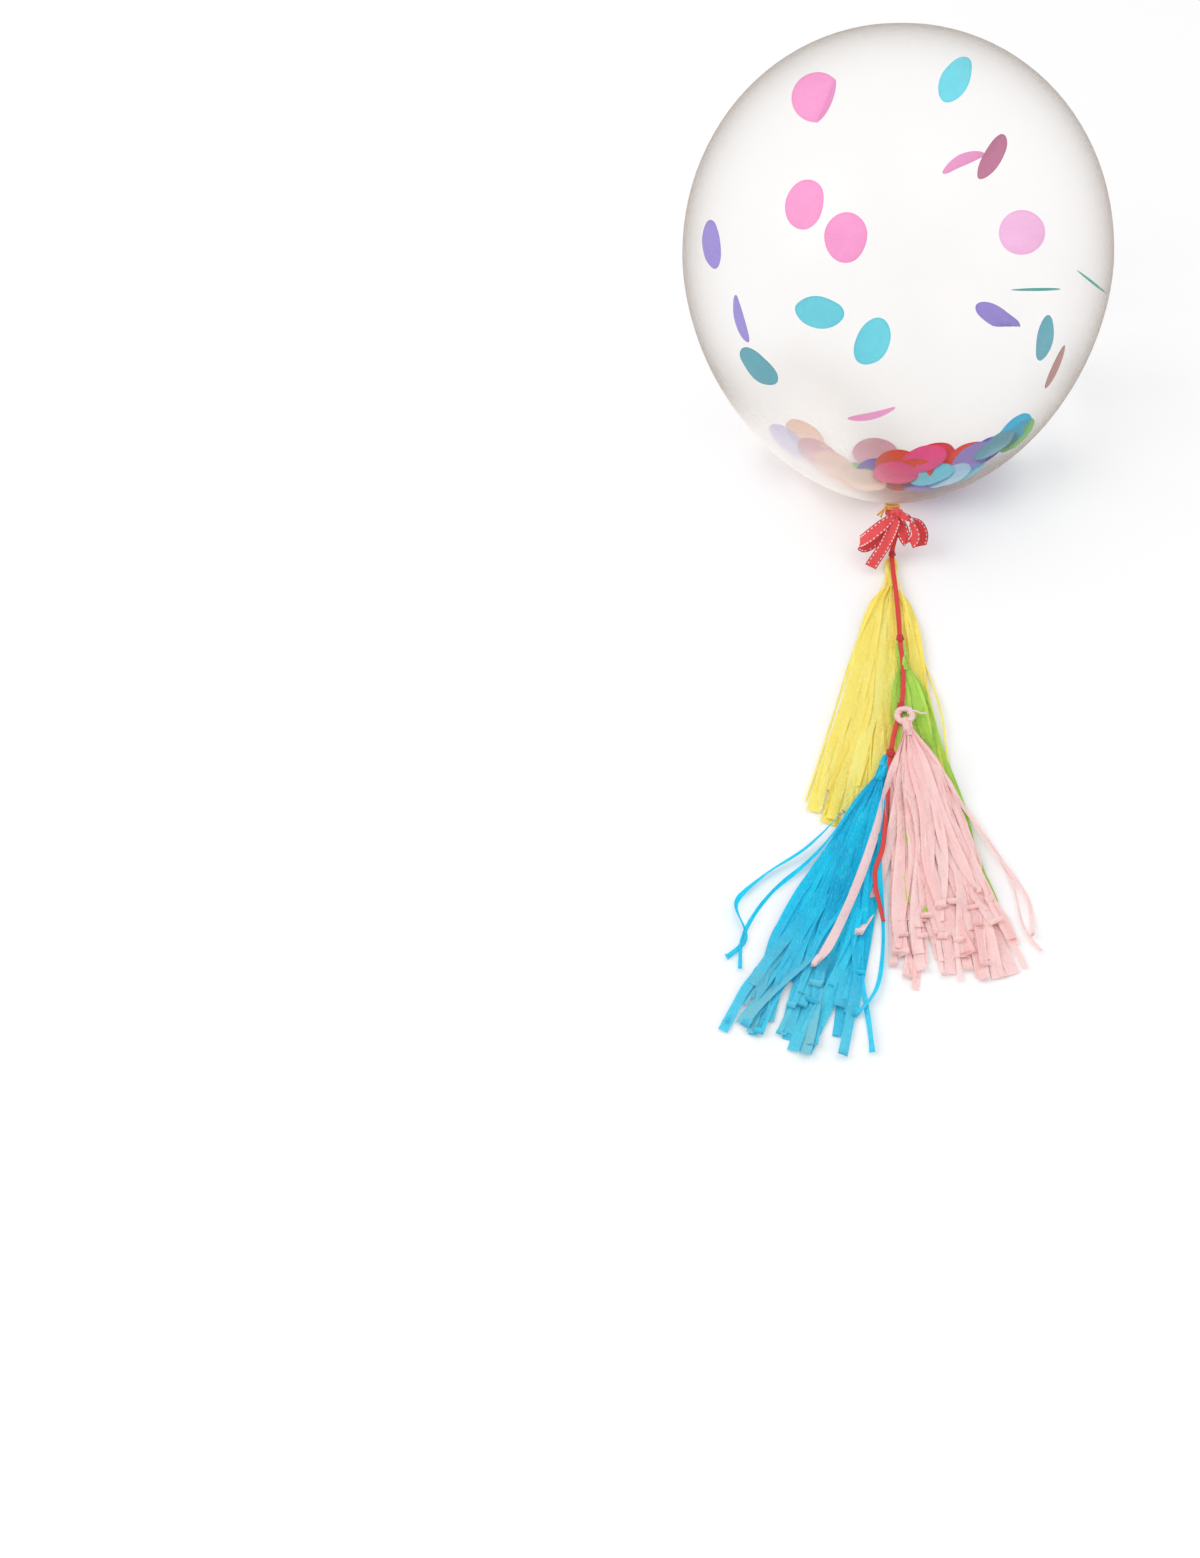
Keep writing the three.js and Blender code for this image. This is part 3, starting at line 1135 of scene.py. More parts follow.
@dataclass
class Confetti:
    """Tissue discs that cling to the inside of the film or lie in a heap at its lowest place."""

    view: View
    radius: float = 0.0333
    rings: int = 7
    sectors: int = 30
    glow: float = 0.35
    crease: float = 0.0008
    crowding: float = 0.045
    floor_gap: float = 0.0007
    singles: tuple[Disc, ...] = (
        Disc((817, 97.2), Tint.PINK, 0.95, 14, 0.12, 0.62, 0.35, size=1.04, fold_angle=1.3),
        Disc((955, 79.2), Tint.CYAN, 0.53, 62, 0.1),
        Disc((992.9, 157.5), Tint.ROSE, 0.38, 60, 0.15),
        Disc((962, 160), Tint.PINK, 0.24, 25, 0.35),
        Disc((804.3, 204.3), Tint.PINK, 0.78, 75, 0.15),
        Disc((845.5, 237.5), Tint.PINK, 0.86, 85, 0.1),
        Disc((1022, 232.4), Tint.LIGHT_PINK, 0.97, 0, 0.1),
        Disc((711.4, 244.5), Tint.LILAC, 0.35, 95.6, 0.1),
        Disc((739.5, 319.3), Tint.LILAC, 0.2, 105, 0.2),
        Disc((758, 367), Tint.TEAL, 0.47, 135, 0.15),
        Disc((819.4, 312.8), Tint.CYAN, 0.6, -8, 0.12),
        Disc((872.8, 341.7), Tint.CYAN, 0.65, 64, 0.12),
        Disc((997.6, 317.3), Tint.LILAC, 0.4, -28, 0.05, 0.32, 0.55),
        Disc((1045, 338), Tint.TEAL, 0.32, 79, 0.1),
        Disc((1055.4, 367), Tint.TAN_ROSE, 0.14, 66, 0.05),
        Disc((1035.8, 289.5), Tint.SEA, 0.06, 1, 0.0),
        Disc((1092, 282), Tint.SEA, 0.06, -38, 0.0, size=0.8),
        Disc((872, 416), Tint.PINK, 0.14, 13, 0.25),
    )
    heap: tuple[tuple[float, float, Tint], ...] = (
        (846, 480, Tint.PEACH), (786, 443, Tint.PALE_LILAC), (804, 438, Tint.PEACH), (817, 456, Tint.MAUVE),
        (833, 470, Tint.PEACH), (905, 482, Tint.RED), (940, 480, Tint.PURPLE), (966, 474, Tint.CYAN),
        (875, 457, Tint.MAUVE), (862, 479, Tint.GREEN), (879, 477, Tint.PURPLE), (862, 487, Tint.PEACH),
        (934, 461, Tint.RED), (898, 471, Tint.ORANGE), (925, 486, Tint.LILAC), (952, 483, Tint.PALE_BLUE),
        (1019, 438, Tint.GREEN), (986, 454, Tint.PURPLE), (968, 461, Tint.ORANGE), (976, 463, Tint.LILAC),
        (912, 480, Tint.ORANGE), (934, 484, Tint.CYAN), (1016, 434, Tint.BLUE), (1000, 453, Tint.TEAL),
        (926, 467, Tint.HOT_PINK), (896, 484, Tint.HOT_PINK),
    )
    finishes: dict[Tint, bpy.types.Material] = field(default_factory=dict)
    count: int = 0

    def build(self) -> list[bpy.types.Object]:
        """Makes all the discs.

        Returns:
            The objects.
        """
        made = [self._single(disc) for disc in self.singles]
        return made + self._heap()

    def _finish_for(self, tint: Tint) -> bpy.types.Material:
        """The material of a tint, made once.

        Args:
            tint: the colour.

        Returns:
            Its material.
        """
        if tint not in self.finishes:
            light, deep = tint.value
            name = "confetti_" + tint.name.lower()
            finish = TissueFinish(name, light, deep, glow=self.glow, crease=self.crease)
            self.finishes[tint] = finish.material()
        return self.finishes[tint]

    def _disc(self, tint: Tint, place: Callable[[float, float], Vector]) -> bpy.types.Object:
        """Makes a disc.

        Args:
            tint: its colour.
            place: where a point of the flat disc goes, from -1 to 1 both ways.

        Returns:
            The object.
        """
        self.count += 1
        piece = Piece(f"confetti_{self.count:02d}")
        mesh = piece.mesh
        bmesh.ops.create_circle(mesh, cap_ends=True, cap_tris=True, segments=self.sectors, radius=1.0)
        spokes = [edge for edge in mesh.edges if not edge.is_boundary]
        bmesh.ops.subdivide_edges(mesh, edges=spokes, cuts=self.rings - 1, use_grid_fill=True)
        base = random.Random(self.count).random() * 0.25
        for face in mesh.faces:
            face.smooth = True
            for loop in face.loops:
                loop[piece.uv].uv = (loop.vert.co.x / 2 + 0.5, loop.vert.co.y / 2 + 0.5)
        for vert in mesh.verts:
            x, y = vert.co.x, vert.co.y
            rim = math.hypot(x, y)
            vert[piece.shade] = base + 0.6 * smooth(rim, 0.9, 1.0)
            vert.co = place(x, y)
        return piece.finish(self._finish_for(tint), f"{self._slot_of(tint)}_tissue")

    def _slot_of(self, tint: Tint) -> str:
        """Which of the tassels' four tissue colours a tint is nearest to.

        Args:
            tint: the colour.

        Returns:
            The tissue's colour word.
        """
        if tint in (Tint.CYAN, Tint.TEAL, Tint.SEA, Tint.LILAC, Tint.PURPLE, Tint.BLUE, Tint.PALE_BLUE):
            return "blue"
        if tint is Tint.PEACH:
            return "yellow"
        return "green" if tint is Tint.GREEN else "pink"

    def _sheet(
        self, middle: Vector, normal: Vector, major: Vector, disc: Disc, seed: int
    ) -> Callable[[float, float], Vector]:
        """How a bent or folded disc lies.

        Args:
            middle: its centre.
            normal: the way that it faces.
            major: direction of its axis that shows longest.
            disc: its bend and fold.
            seed: for its own crumples.

        Returns:
            A function from the flat disc to space.
        """
        minor = normal.cross(major).normalized()
        radius = self.radius * disc.size
        loose = min(1.0, disc.open * 2.5)

        def place(x: float, y: float) -> Vector:
            """Where a point of the flat disc goes.

            Args:
                x: place across the flat disc, from -1 to 1.
                y: place up the flat disc, from -1 to 1.

            Returns:
                The place in space.
            """
            lift = 0.5 * radius * (disc.bend * x * x + disc.cup * y * y)
            crumple = noise.noise(Vector((x * 1.3 + seed, y * 1.3, seed * 0.37))) * 0.0016
            crumple = loose * (crumple + 0.0014 * math.sin(1.6 * x + seed) * y)
            point = middle + major * (x * radius) + minor * (y * radius) + normal * (lift + crumple)
            if disc.fold:
                sign = 1.0 if disc.fold_side > 0 else -1.0
                over = x * sign * 0.8 + y * 0.6 - (1 - disc.fold)
                if over > 0:
                    direction = (major * (0.8 * sign) + minor * 0.6).normalized()
                    angle = min(over * 9.0, disc.fold_angle)
                    reach = over * radius
                    point -= direction * (reach - reach * math.cos(angle))
                    point += normal * (reach * math.sin(angle) * 0.5 + 0.0006)
            return point

        return place

    def _single(self, disc: Disc) -> bpy.types.Object:
        """Makes one clinging disc on the film where the photograph shows it.

        Args:
            disc: where it shows and how it is turned.

        Returns:
            The object.
        """
        view = self.view
        lean = math.radians(disc.lean)
        heading = view.ray(*disc.at)
        major = view.right * math.cos(lean) + view.up * math.sin(lean)
        major = (major - heading * major.dot(heading)).normalized()
        minor = heading.cross(major).normalized()
        best = None
        for index, wall in enumerate(SHAPE.walls(view.place, heading)[:2]):
            out = SHAPE.outward(wall)
            for sign in (1, -1):
                normal = (-heading * disc.open + minor * (sign * math.sqrt(1 - disc.open**2))).normalized()
                cling = abs(normal.dot(out))
                if best is None or cling > best[0]:
                    best = (cling, wall, normal, 1 if index == 0 else -1, out)
        _, wall, normal, inward, out = best
        if normal.dot(out) > 0:
            normal = -normal
        place = self._sheet(wall, normal, major, disc, self.count + 1)
        moved = self._inside(place, heading * inward)
        return self._disc(disc.tint, lambda x, y: place(x, y) + moved)

    def _inside(
        self, place: Callable[[float, float], Vector], heading: Vector, room: float = 0.992
    ) -> Vector:
        """How far a disc moves to lie inside the film.

        Args:
            place: where its points are.
            heading: the way that it may move.
            room: the fullness that it stays under.

        Returns:
            The move.
        """
        rim = [(math.cos(t * math.pi / 10), math.sin(t * math.pi / 10)) for t in range(20)] + [(0.0, 0.0)]
        shift = 0.0
        while shift < 0.25 and max(SHAPE.fullness_at(place(x, y) + heading * shift) for x, y in rim) >= room:
            shift += 0.001
        return heading * shift

    def _heap(self) -> list[bpy.types.Object]:
        """Makes the heap: discs that lie on the film and each other, all along the lower side to the neck.

        Returns:
            The objects.
        """
        draw = random.Random(11)
        made, laid = [], []
        for index, (right, down, tint) in enumerate(self.heap):
            found: list[Vector] = []
            while len(found) < 2 or (found[1] - found[0]).length < self.crowding:
                heading = self.view.ray(right, down)
                found = SHAPE.walls(self.view.place, heading)
                right, down = mixed(right, 897.0, 0.01), down - 1.5
            wall = found[1]
            out = SHAPE.outward(wall)
            crowd = sum(1 for other in laid if (other - wall).length < self.crowding)
            laid.append(wall)
            tip = Vector((draw.uniform(-0.06, 0.06), draw.uniform(-0.06, 0.06), draw.uniform(-0.03, 0.05)))
            normal = (-out + tip * min(1.0, 0.3 + 0.12 * crowd)).normalized()
            turn = Matrix.Rotation(draw.uniform(0, 2 * math.pi), 3, normal)
            major = turn @ normal.orthogonal().normalized()
            disc = Disc((right, down), tint, 1.0, 0.0, draw.uniform(0.1, 0.16), cup=0.12)
            place = self._sheet(wall - out * (0.001 + 0.003 * crowd), normal, major, disc, index + 40)
            moved = self._inside(place, -out, 0.994)
            made.append(
                self._disc(tint, lambda x, y, place=place, moved=moved: self._kept_up(place(x, y) + moved))
            )
        return made

    def _kept_up(self, point: Vector) -> Vector:
        """A point, kept just over the flat spot."""
        point.z = max(point.z, self.floor_gap)
        return point


# Cord and bow at the neck


@dataclass
class TieCord:
    """Golden twisted cord: two turns round the throat and two frayed ends on the left."""

    radius: float = 0.0014
    turns: float = 2.0
    steps: int = 40
    sides: int = 12
    first: float = math.radians(160)
    drop: float = 0.004
    clearance: float = 0.0003
    end_length: float = 0.02
    end_steps: int = 26

    def build(self) -> bpy.types.Object:
        """Makes the cord.

        Returns:
            The object.
        """
        piece = Piece("golden_tie_cord")
        turn = SHAPE.frame()
        around = SHAPE.throat + self.clearance + self.radius
        coil = []
        for step in range(int(self.turns * self.steps) + 1):
            angle = self.first + 2 * math.pi * step / self.steps
            down = SHAPE.drop + self.drop + 1.9 * self.radius * step / self.steps
            coil.append(turn @ Vector((around * math.cos(angle), -down, around * math.sin(angle))))
        piece.tube(coil, self.sides, self._strands(len(coil)))
        for lean, level in ((0.55, 0.0), (0.95, 1.0)):
            down = SHAPE.drop + self.drop + level * 1.7 * self.radius
            start = Vector((-around * 0.9, -down, around * 0.42))
            outward = Vector((-math.sin(lean) * 0.8, -math.cos(lean), 0.25))
            middle = start + outward * (self.end_length / 2) + Vector((0, 0, self.radius))
            end = start + outward * self.end_length
            path = [turn @ point for point in Curve([start, middle, end]).even(self.end_steps)]
            piece.tube(path, self.sides, self._strands(self.end_steps, frayed=True))
        finish = ThreadFinish("golden_cord", (0.86, 0.47, 0.045), (0.5, 0.2, 0.01))
        return piece.finish(finish.material(), "golden_cord", ["neck_tie_cord"], recalculate=True)

    def _strands(self, count: int, frayed: bool = False) -> Callable[[float, float], float]:
        """Radius of a cord of three twisted strands.

        Args:
            count: places along it.
            frayed: whether it opens at its far end.

        Returns:
            A function of the turn and the share along.
        """
        turns = count / 5

        def radius(turn: float, along: float) -> float:
            """Radius at a turn and a share along.

            Args:
                turn: angle round it, in radians.
                along: share along, from 0 to 1.

            Returns:
                The radius.
            """
            lobes = abs(math.cos(1.5 * turn + math.pi * turns * along * 0.5))
            wide = 1.0 + (0.35 * smooth(along, 0.82, 1.0) if frayed else 0.0)
            return self.radius * (0.62 + 0.4 * lobes) * wide

        return radius


class RibbonEnd(Enum):
    """How the far end of a run of ribbon is finished."""

    TUCKED = "tucked"
    SQUARE = "square"
    SLANT = "slant"


@dataclass(frozen=True)
class RibbonRun:
    """One run of the ribbon: right, down and out of its middle in shares of the reach, and its side."""

    name: str
    at: tuple[tuple[float, float, float], ...]
    side: tuple[tuple[float, float, float], ...]
    end: RibbonEnd = RibbonEnd.TUCKED
    phase: float = 9.0


@dataclass
class Bow:
    """Stitched ribbon tied in a bow: a band round the throat, a knot, two loops and two tails."""

    reach: float = 0.09
    width: float = 0.018
    thickness: float = 0.0006
    clearance: float = 0.0003
    stitch: float = 0.0034
    stitch_width: float = 0.0018
    stitch_rise: float = 0.0007
    pitch: float = 0.0054
    inset: float = 0.0025
    runs: tuple[RibbonRun, ...] = (
        RibbonRun(
            "left loop",
            (
                (0.044, 0.167, 0.156), (-0.189, 0.333, 0.244), (-0.422, 0.522, 0.256), (-0.511, 0.611, 0.178),
                (-0.422, 0.678, 0.1), (-0.167, 0.467, 0.111), (0.044, 0.2, 0.111),
            ),
            (
                (-0.5, 0.86, 0.1), (-0.47, 0.88, 0.1), (-0.35, 0.93, 0), (-0.2, 0.98, 0), (-0.35, 0.93, 0),
                (-0.5, 0.86, 0), (-0.5, 0.86, 0),
            ),
        ),
        RibbonRun(
            "right loop",
            (
                (0.111, 0.156, 0.156), (0.278, 0.289, 0.256), (0.344, 0.478, 0.278), (0.267, 0.6, 0.211),
                (0.178, 0.5, 0.133), (0.111, 0.222, 0.111),
            ),
            (
                (0.55, 0.7, 0.45), (0.62, 0.45, 0.64), (0.7, 0.3, 0.65), (0.85, 0.2, 0.5), (0.92, 0.35, 0.1),
                (0.92, 0.35, 0),
            ),
            phase=10.0,
        ),
        RibbonRun(
            "left tail",
            ((0.056, 0.2, 0.144), (-0.089, 0.556, 0.2), (-0.344, 1, 0.156)),
            ((-0.86, 0.5, 0), (-0.86, 0.5, 0), (-0.86, 0.5, 0.1)),
            RibbonEnd.SQUARE,
        ),
        RibbonRun(
            "right tail",
            ((0.122, 0.133, 0.089), (0.367, 0.267, 0.089), (0.467, 0.489, 0.133), (0.411, 0.711, 0.189)),
            ((0.4, 0.2, 0.9), (0.6, 0.1, 0.8), (0.85, 0, 0.5), (0.95, -0.1, 0.3)),
            RibbonEnd.SLANT,
            phase=10.0,
        ),
    )

    def _surface(self, run: RibbonRun) -> tuple[Callable[[float, float], Vector], float]:
        """The middle surface of a run, from shares across and along, and its length.

        Args:
            run: the run of ribbon.

        Returns:
            A function from shares across and along to a place, and the length.
        """
        drop, throat, reach = SHAPE.drop, SHAPE.throat, self.reach
        turn = SHAPE.frame()
        middle = Curve([(r * reach, -drop - d * reach, throat + o * reach) for r, d, o in run.at])
        sides = Curve([Vector((r, -d, o)).normalized() for r, d, o in run.side])
        length = middle.length()

        def place(across: float, along: float) -> Vector:
            """A point of the ribbon in the ground's frame.

            Args:
                across: share across, from 0 to 1.
                along: share along, from 0 to 1.

            Returns:
                The place.
            """
            if run.end is RibbonEnd.SLANT:
                along = along * (1.0 - 0.14 * across)
            centre, ahead = middle.at(along), middle.heading(along)
            side = sides.at(along)
            side = (side - ahead * side.dot(ahead)).normalized()
            face = ahead.cross(side)
            pinch = 0.5 + 0.5 * smooth(along, 0.0, 0.13)
            if run.end is RibbonEnd.TUCKED:
                pinch = min(pinch, 0.5 + 0.5 * smooth(1 - along, 0.0, 0.13))
            cup = (1 - pinch) * math.sin(3 * math.pi * (across - 0.5)) * 0.0022
            wave = 0.0007 * math.sin(9 * along + 3 * across + run.phase)
            return turn @ (centre + side * ((across - 0.5) * self.width * pinch) + face * (cup + wave))

        return place, length

    def build(self) -> list[bpy.types.Object]:
        """Makes the ribbon and its stitches.

        Returns:
            The ribbon, its knot and its stitches.
        """
        piece = Piece("stitched_bow")
        stitches = Piece("bow_stitches")
        for run in self.runs:
            place, length = self._surface(run)
            piece.grid(12, 56, place, lambda across, along: 0.0)
            self._stitch(stitches, place, length)
        knot = Piece("bow_knot")
        self._knot(knot)
        ribbon = RibbonFinish(
            "red_stitched_ribbon",
            colour=(0.98, 0.105, 0.115),
            edge=(0.2, 0.03, 0.035),
            ribs=900.0,
            gloss=0.5,
            edge_share=0.05,
            glow=0.2,
        )
        thread = ThreadFinish("white_thread", (1.0, 0.99, 0.97), (0.86, 0.82, 0.79), 3000.0)
        red = ribbon.material()
        return [
            piece.finish(red, "red_stitched_ribbon", ["ribbon_bow"], thickness=self.thickness),
            knot.finish(red, "red_stitched_ribbon", recalculate=True),
            stitches.finish(thread.material(), "red_stitched_ribbon"),
        ]

    def _stitch(self, stitches: Piece, place: Callable[[float, float], Vector], length: float) -> None:
        """Sews running stitches along both edges of a run, which show on both faces.

        Args:
            stitches: the mesh that they are added to.
            place: the ribbon's middle surface.
            length: how long it is.
        """
        count = int(length / self.pitch)
        size = Vector((self.stitch / 2, self.stitch_width / 2, self.thickness / 2 + self.stitch_rise))
        for across in (self.inset / self.width, 1 - self.inset / self.width):
            for index in range(1, count):
                along = (index + 0.2) / count
                if not 0.03 < along < 0.985:
                    continue
                middle = place(across, along)
                ahead = (place(across, min(along + 0.01, 1.0)) - place(across, along - 0.01)).normalized()
                side = place(min(across + 0.03, 1), along) - place(max(across - 0.03, 0), along)
                side = side.normalized()
                turn = Matrix((ahead, side, ahead.cross(side).normalized())).transposed()
                stitches.ball(middle, size, turn, (6, 5))

    def _knot(self, piece: Piece) -> None:
        """Adds the folded knot and the gathered band round the throat.

        Args:
            piece: the mesh that they are added to.
        """
        turn = SHAPE.frame()
        inner = SHAPE.throat + self.clearance
        middle = Vector((0.005, -SHAPE.drop - 0.014, inner + 0.0072))
        made = piece.ball(Vector(), Vector((1, 1, 1)), Matrix.Identity(3), (40, 22))
        for vert in made:
            x, y, z = vert.co
            fold = 0.09 * math.sin(9.0 * x + 1.2 * y) * (1 - y * y * 0.6)
            vert.co = turn @ (middle + Vector((x * 0.0092, y * 0.0078, z * 0.0078)) * (1 + fold))
        faces = {face for vert in made for face in vert.link_faces}
        for face in faces:
            for loop in face.loops:
                local = (SHAPE.frame_back @ loop.vert.co) - middle
                loop[piece.uv].uv = (0.5 + local.x * 22, local.y * 8)
        top = -SHAPE.drop - 0.012

        def band(across: float, along: float) -> Vector:
            """A point of the band's outer side, closed over its edges.

            Args:
                across: share across, from 0 to 1.
                along: share along, from 0 to 1.

            Returns:
                The place.
            """
            angle = 2 * math.pi * (across % 1.0)
            height = math.cos(math.pi * (along - 0.5) * 2)
            sweep = math.sin(math.pi * (along - 0.5))
            out = inner + 0.0002 + 0.0016 * max(height * 0.5 + 0.5, 0.0) ** 0.5
            out += 0.0004 * math.sin(14 * math.pi * along + angle)
            level = top - 0.0035 - 0.0036 * sweep
            return turn @ Vector((out * math.cos(angle), level, out * math.sin(angle)))

        piece.grid(48, 14, band, 0.0, closed=True)


# The line and its tassels


@dataclass
class HangingLine:
    """Narrow satin ribbon that runs from the bow through the tassels' loops."""

    width: float = 0.0075
    thickness: float = 0.0016
    steps: int = 220
    points: tuple[tuple[float, float, float], ...] = (
        (9, 33.2, 52.2), (4, 44, 32), (1, 54, 16), (1, 80, 16.5), (4, 120, 16), (6, 165, 16), (6, 205, 23),
        (8, 255, 24.5), (5, 300, 27), (1, 322, 29), (-7, 350, 25), (-14, 384, 20), (-18, 420, 19),
        (-23, 470, 19), (-30, 530, 17), (-42, 570, 14), (-33, 640, 11),
    )
    knots: tuple[tuple[float, float], ...] = ((57, 0.0050), (202, 0.0054), (316, 0.0056), (384, 0.0060))

    def path(self) -> list[Vector]:
        """Its route on the ground, evenly spaced."""
        tie = SHAPE.tie()
        return Curve([(r / 1000, tie.y - f / 1000, h / 1000) for r, f, h in self.points]).even(self.steps)

    def build(self) -> list[bpy.types.Object]:
        """Makes the line and its knots.

        Returns:
            The line and its knots.
        """
        path = self.path()
        weave = RibbonFinish(
            "red_satin_line",
            colour=(0.8, 0.055, 0.045),
            edge=(0.5, 0.02, 0.02),
            ribs=2600.0,
            gloss=0.3,
            edge_share=0.1,
        )
        finish = weave.material()
        knots = Piece("line_knots")
        tie = SHAPE.tie()
        for forward, size in self.knots:
            spot = min(path, key=lambda point: abs(tie.y - point.y - forward / 1000))
            made = knots.ball(Vector(), Vector((1, 1, 1)), Matrix.Identity(3), (28, 16))
            for vert in made:
                x, y, z = vert.co
                fold = 0.12 * math.sin(7 * y + 3.0 * x) + 0.08 * math.sin(5 * z)
                vert.co = spot + Vector((x, y * 1.15, z * 0.8)) * size * (1 + fold)
        knot = knots.finish(finish, "red_satin_line")
        line = Piece("satin_line")
        swell = [noise.noise(Vector((index * 0.11, 3.0, 0.0))) for index in range(len(path))]

        def radius(turn: float, along: float) -> float:
            """Half width, a little uneven.

            Args:
                turn: angle round it, in radians.
                along: share along, from 0 to 1.

            Returns:
                The half width.
            """
            index = int(along * (len(path) - 1))
            half = self.width / 2 * (0.94 + 0.06 * math.sin(3 * turn + 9 * along))
            return half * (0.95 + 0.1 * abs(swell[index]))

        line.tube(path, 14, radius, self.thickness / self.width, twist=0.06)
        satin = line.finish(finish, "red_satin_line", ["hanging_line"], recalculate=True)
        length = run_length(path)
        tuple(path[0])
        log.info("satin line: %.3f m", length)
        return [satin, knot]


@dataclass
class Strip:
    """One cut strip of a tassel's paper."""

    across: float
    level: float
    reach: float
    width: float
    phase: float
    sway: float
    roll: float
    curl: float
    shade: float
    drift: float = 0.0
    splay: float = 0.0


@dataclass(frozen=True)
class Stray:
    """A strip that slipped out of the skirt: places right and forward of the tassel's head, and its curl."""

    path: tuple[tuple[float, float], ...]
    width: float = 0.012
    curl: float = 0.0


@dataclass
class Tassel:
    """Tissue tassel lying on the ground: a twisted loop for a head and a skirt of cut strips."""

    name: str
    node: str
    colour: Colour
    deep: Colour
    head: tuple[float, float]
    aim: float
    length: float
    left: float
    right: float
    flare: float
    loop: tuple[float, float]
    count: int
    seed: int
    ends: Colour | None = None
    strays: tuple[Stray, ...] = ()
    curls: float = 0.3
    raggedness: float = 0.2
    looseness: float = 0.8
    shoulder: float = 0.0
    strand: float = 0.0034
    tie_end: bool = False
    below: tuple["Tassel", ...] = ()
    strip_width: float = 0.0142
    width_shares: tuple[float, ...] = (0.5, 0.85, 1.0, 1.0, 1.15, 1.3)
    edge_fade: float = 0.012
    neck: float = 0.0065
    neck_height: float = 0.012
    tip_height: float = 0.005
    neck_share: float = 0.05
    rows: int = 46
    curl_size: float = 0.0058
    paper_round: float = 0.0036
    gather_reach: float = 0.24
    tie: tuple[tuple[float, float, float], ...] = (
        (0.004, 0.012, 0.008), (0.013, 0.011, 0.012), (0.023, 0.016, 0.011), (0.03, 0.015, 0.009),
    )

    def ground(self, sideways: float, forward: float) -> Vector:
        """A place on the ground, from the tassel's own frame.

        Args:
            sideways: metres to its right.
            forward: metres along it from its head.

        Returns:
            The place.
        """
        aim, tie = math.radians(self.aim), SHAPE.tie()
        right = self.head[0] + sideways * math.cos(aim) + forward * math.sin(aim)
        ahead = self.head[1] + forward * math.cos(aim) - sideways * math.sin(aim)
        return Vector((right, tie.y - ahead, 0.0))

    def own(self, point: Vector) -> tuple[float, float]:
        """A ground place in the tassel's own frame: sideways and forward.

        Args:
            point: a place on the ground.

        Returns:
            How far sideways and forward of the head it is.
        """
        aim, tie = math.radians(self.aim), SHAPE.tie()
        right, ahead = point.x - self.head[0], tie.y - point.y - self.head[1]
        return right * math.cos(aim) - ahead * math.sin(aim), right * math.sin(aim) + ahead * math.cos(aim)

    @property
    def skirt(self) -> float:
        """Length of the skirt."""
        return self.length - self.start

    @property
    def start(self) -> float:
        """Where the skirt leaves the loop."""
        return self.loop[0] - self.paper_round

    def spread(self, share: float) -> tuple[float, float]:
        """Half widths left and right at a share of the skirt.

        Args:
            share: how far down the skirt, from 0 to 1.

        Returns:
            The half width on the left and on the right.
        """
        opened = (max(share - self.neck_share, 0.0) / (1 - self.neck_share)) ** self.flare
        puff = self.shoulder * smooth(share, self.neck_share, 0.12) * (1 - smooth(share, 0.14, 0.55))
        return mixed(self.neck, self.left, opened) + puff, mixed(self.neck, self.right, opened) + puff

    def top_at(self, point: Vector) -> float:
        """Height of the tassel's pile at a ground place, with what it lies on.

        Args:
            point: a place on the ground.

        Returns:
            The height.
        """
        sideways, forward = self.own(point)
        share = (forward - self.start) / self.skirt
        left, right = self.spread(min(max(share, 0.0), 1.0))
        beside = min(sideways + left, right - sideways) / self.edge_fade
        edge = min(beside, (share + 0.06) / 0.06, (1.0 - share) / 0.08)
        rest = self.rest_at(point)
        if edge <= 0:
            return rest
        pile = mixed(self.neck_height, self.tip_height, min(max(share, 0.0), 1.0))
        return rest + (pile + 0.002) * smooth(edge)

    def rest_at(self, point: Vector) -> float:
        """Height of what the tassel lies on at a ground place."""
        return max((other.top_at(point) for other in self.below), default=0.0)

    def _strips(self) -> list[Strip]:
        """Draws the skirt's strips.

        Returns:
            The strips, from the lowest layer up.
        """
        draw = random.Random(self.seed)
        strips = []
        for index in range(self.count):
            level = index / (self.count - 1)
            across = (index * 0.618034 + draw.uniform(-0.03, 0.03)) % 1.0
            strips.append(
                Strip(
                    across=0.03 + 0.94 * across,
                    level=level,
                    reach=1.0 - self.raggedness * draw.random() ** 1.3,
                    width=self.strip_width * draw.choice(self.width_shares) * draw.uniform(0.92, 1.08),
                    phase=draw.uniform(0, 2 * math.pi),
                    sway=draw.uniform(0.002, 0.008) * self.looseness,
                    roll=draw.uniform(-0.55, 0.55),
                    curl=draw.uniform(0.35, 1.3) if draw.random() < self.curls else 0.0,
                    shade=draw.uniform(0.0, 0.8),
                    drift=draw.uniform(-0.1, 0.1),
                    splay=draw.gauss(0.0, 0.012) * self.looseness,
                )
            )
        return strips

    def _middle(self, strip: Strip, share: float) -> Vector:
        """The middle of a strip at a share of its length.

        Args:
            strip: its own facts.
            share: how far along it, from 0 to 1.

        Returns:
            The place on the ground.
        """
        reached = share * strip.reach
        left, right = self.spread(reached)
        drift = strip.drift * math.sin(math.pi * reached) ** 2
        across = min(max(strip.across + drift, 0.015), 0.985)
        sideways = across * (left + right) - left
        sideways += strip.sway * smooth(reached, 0.08, 0.5) * math.sin(7.5 * reached + strip.phase)
        sideways += strip.splay * smooth(share, 0.5, 1.0)
        sideways = min(max(sideways, -left + 0.001), right - 0.001)
        lean = math.atan2(sideways, self.skirt)
        forward = self.start + self.skirt * reached * math.cos(lean)
        return self.ground(sideways, forward)

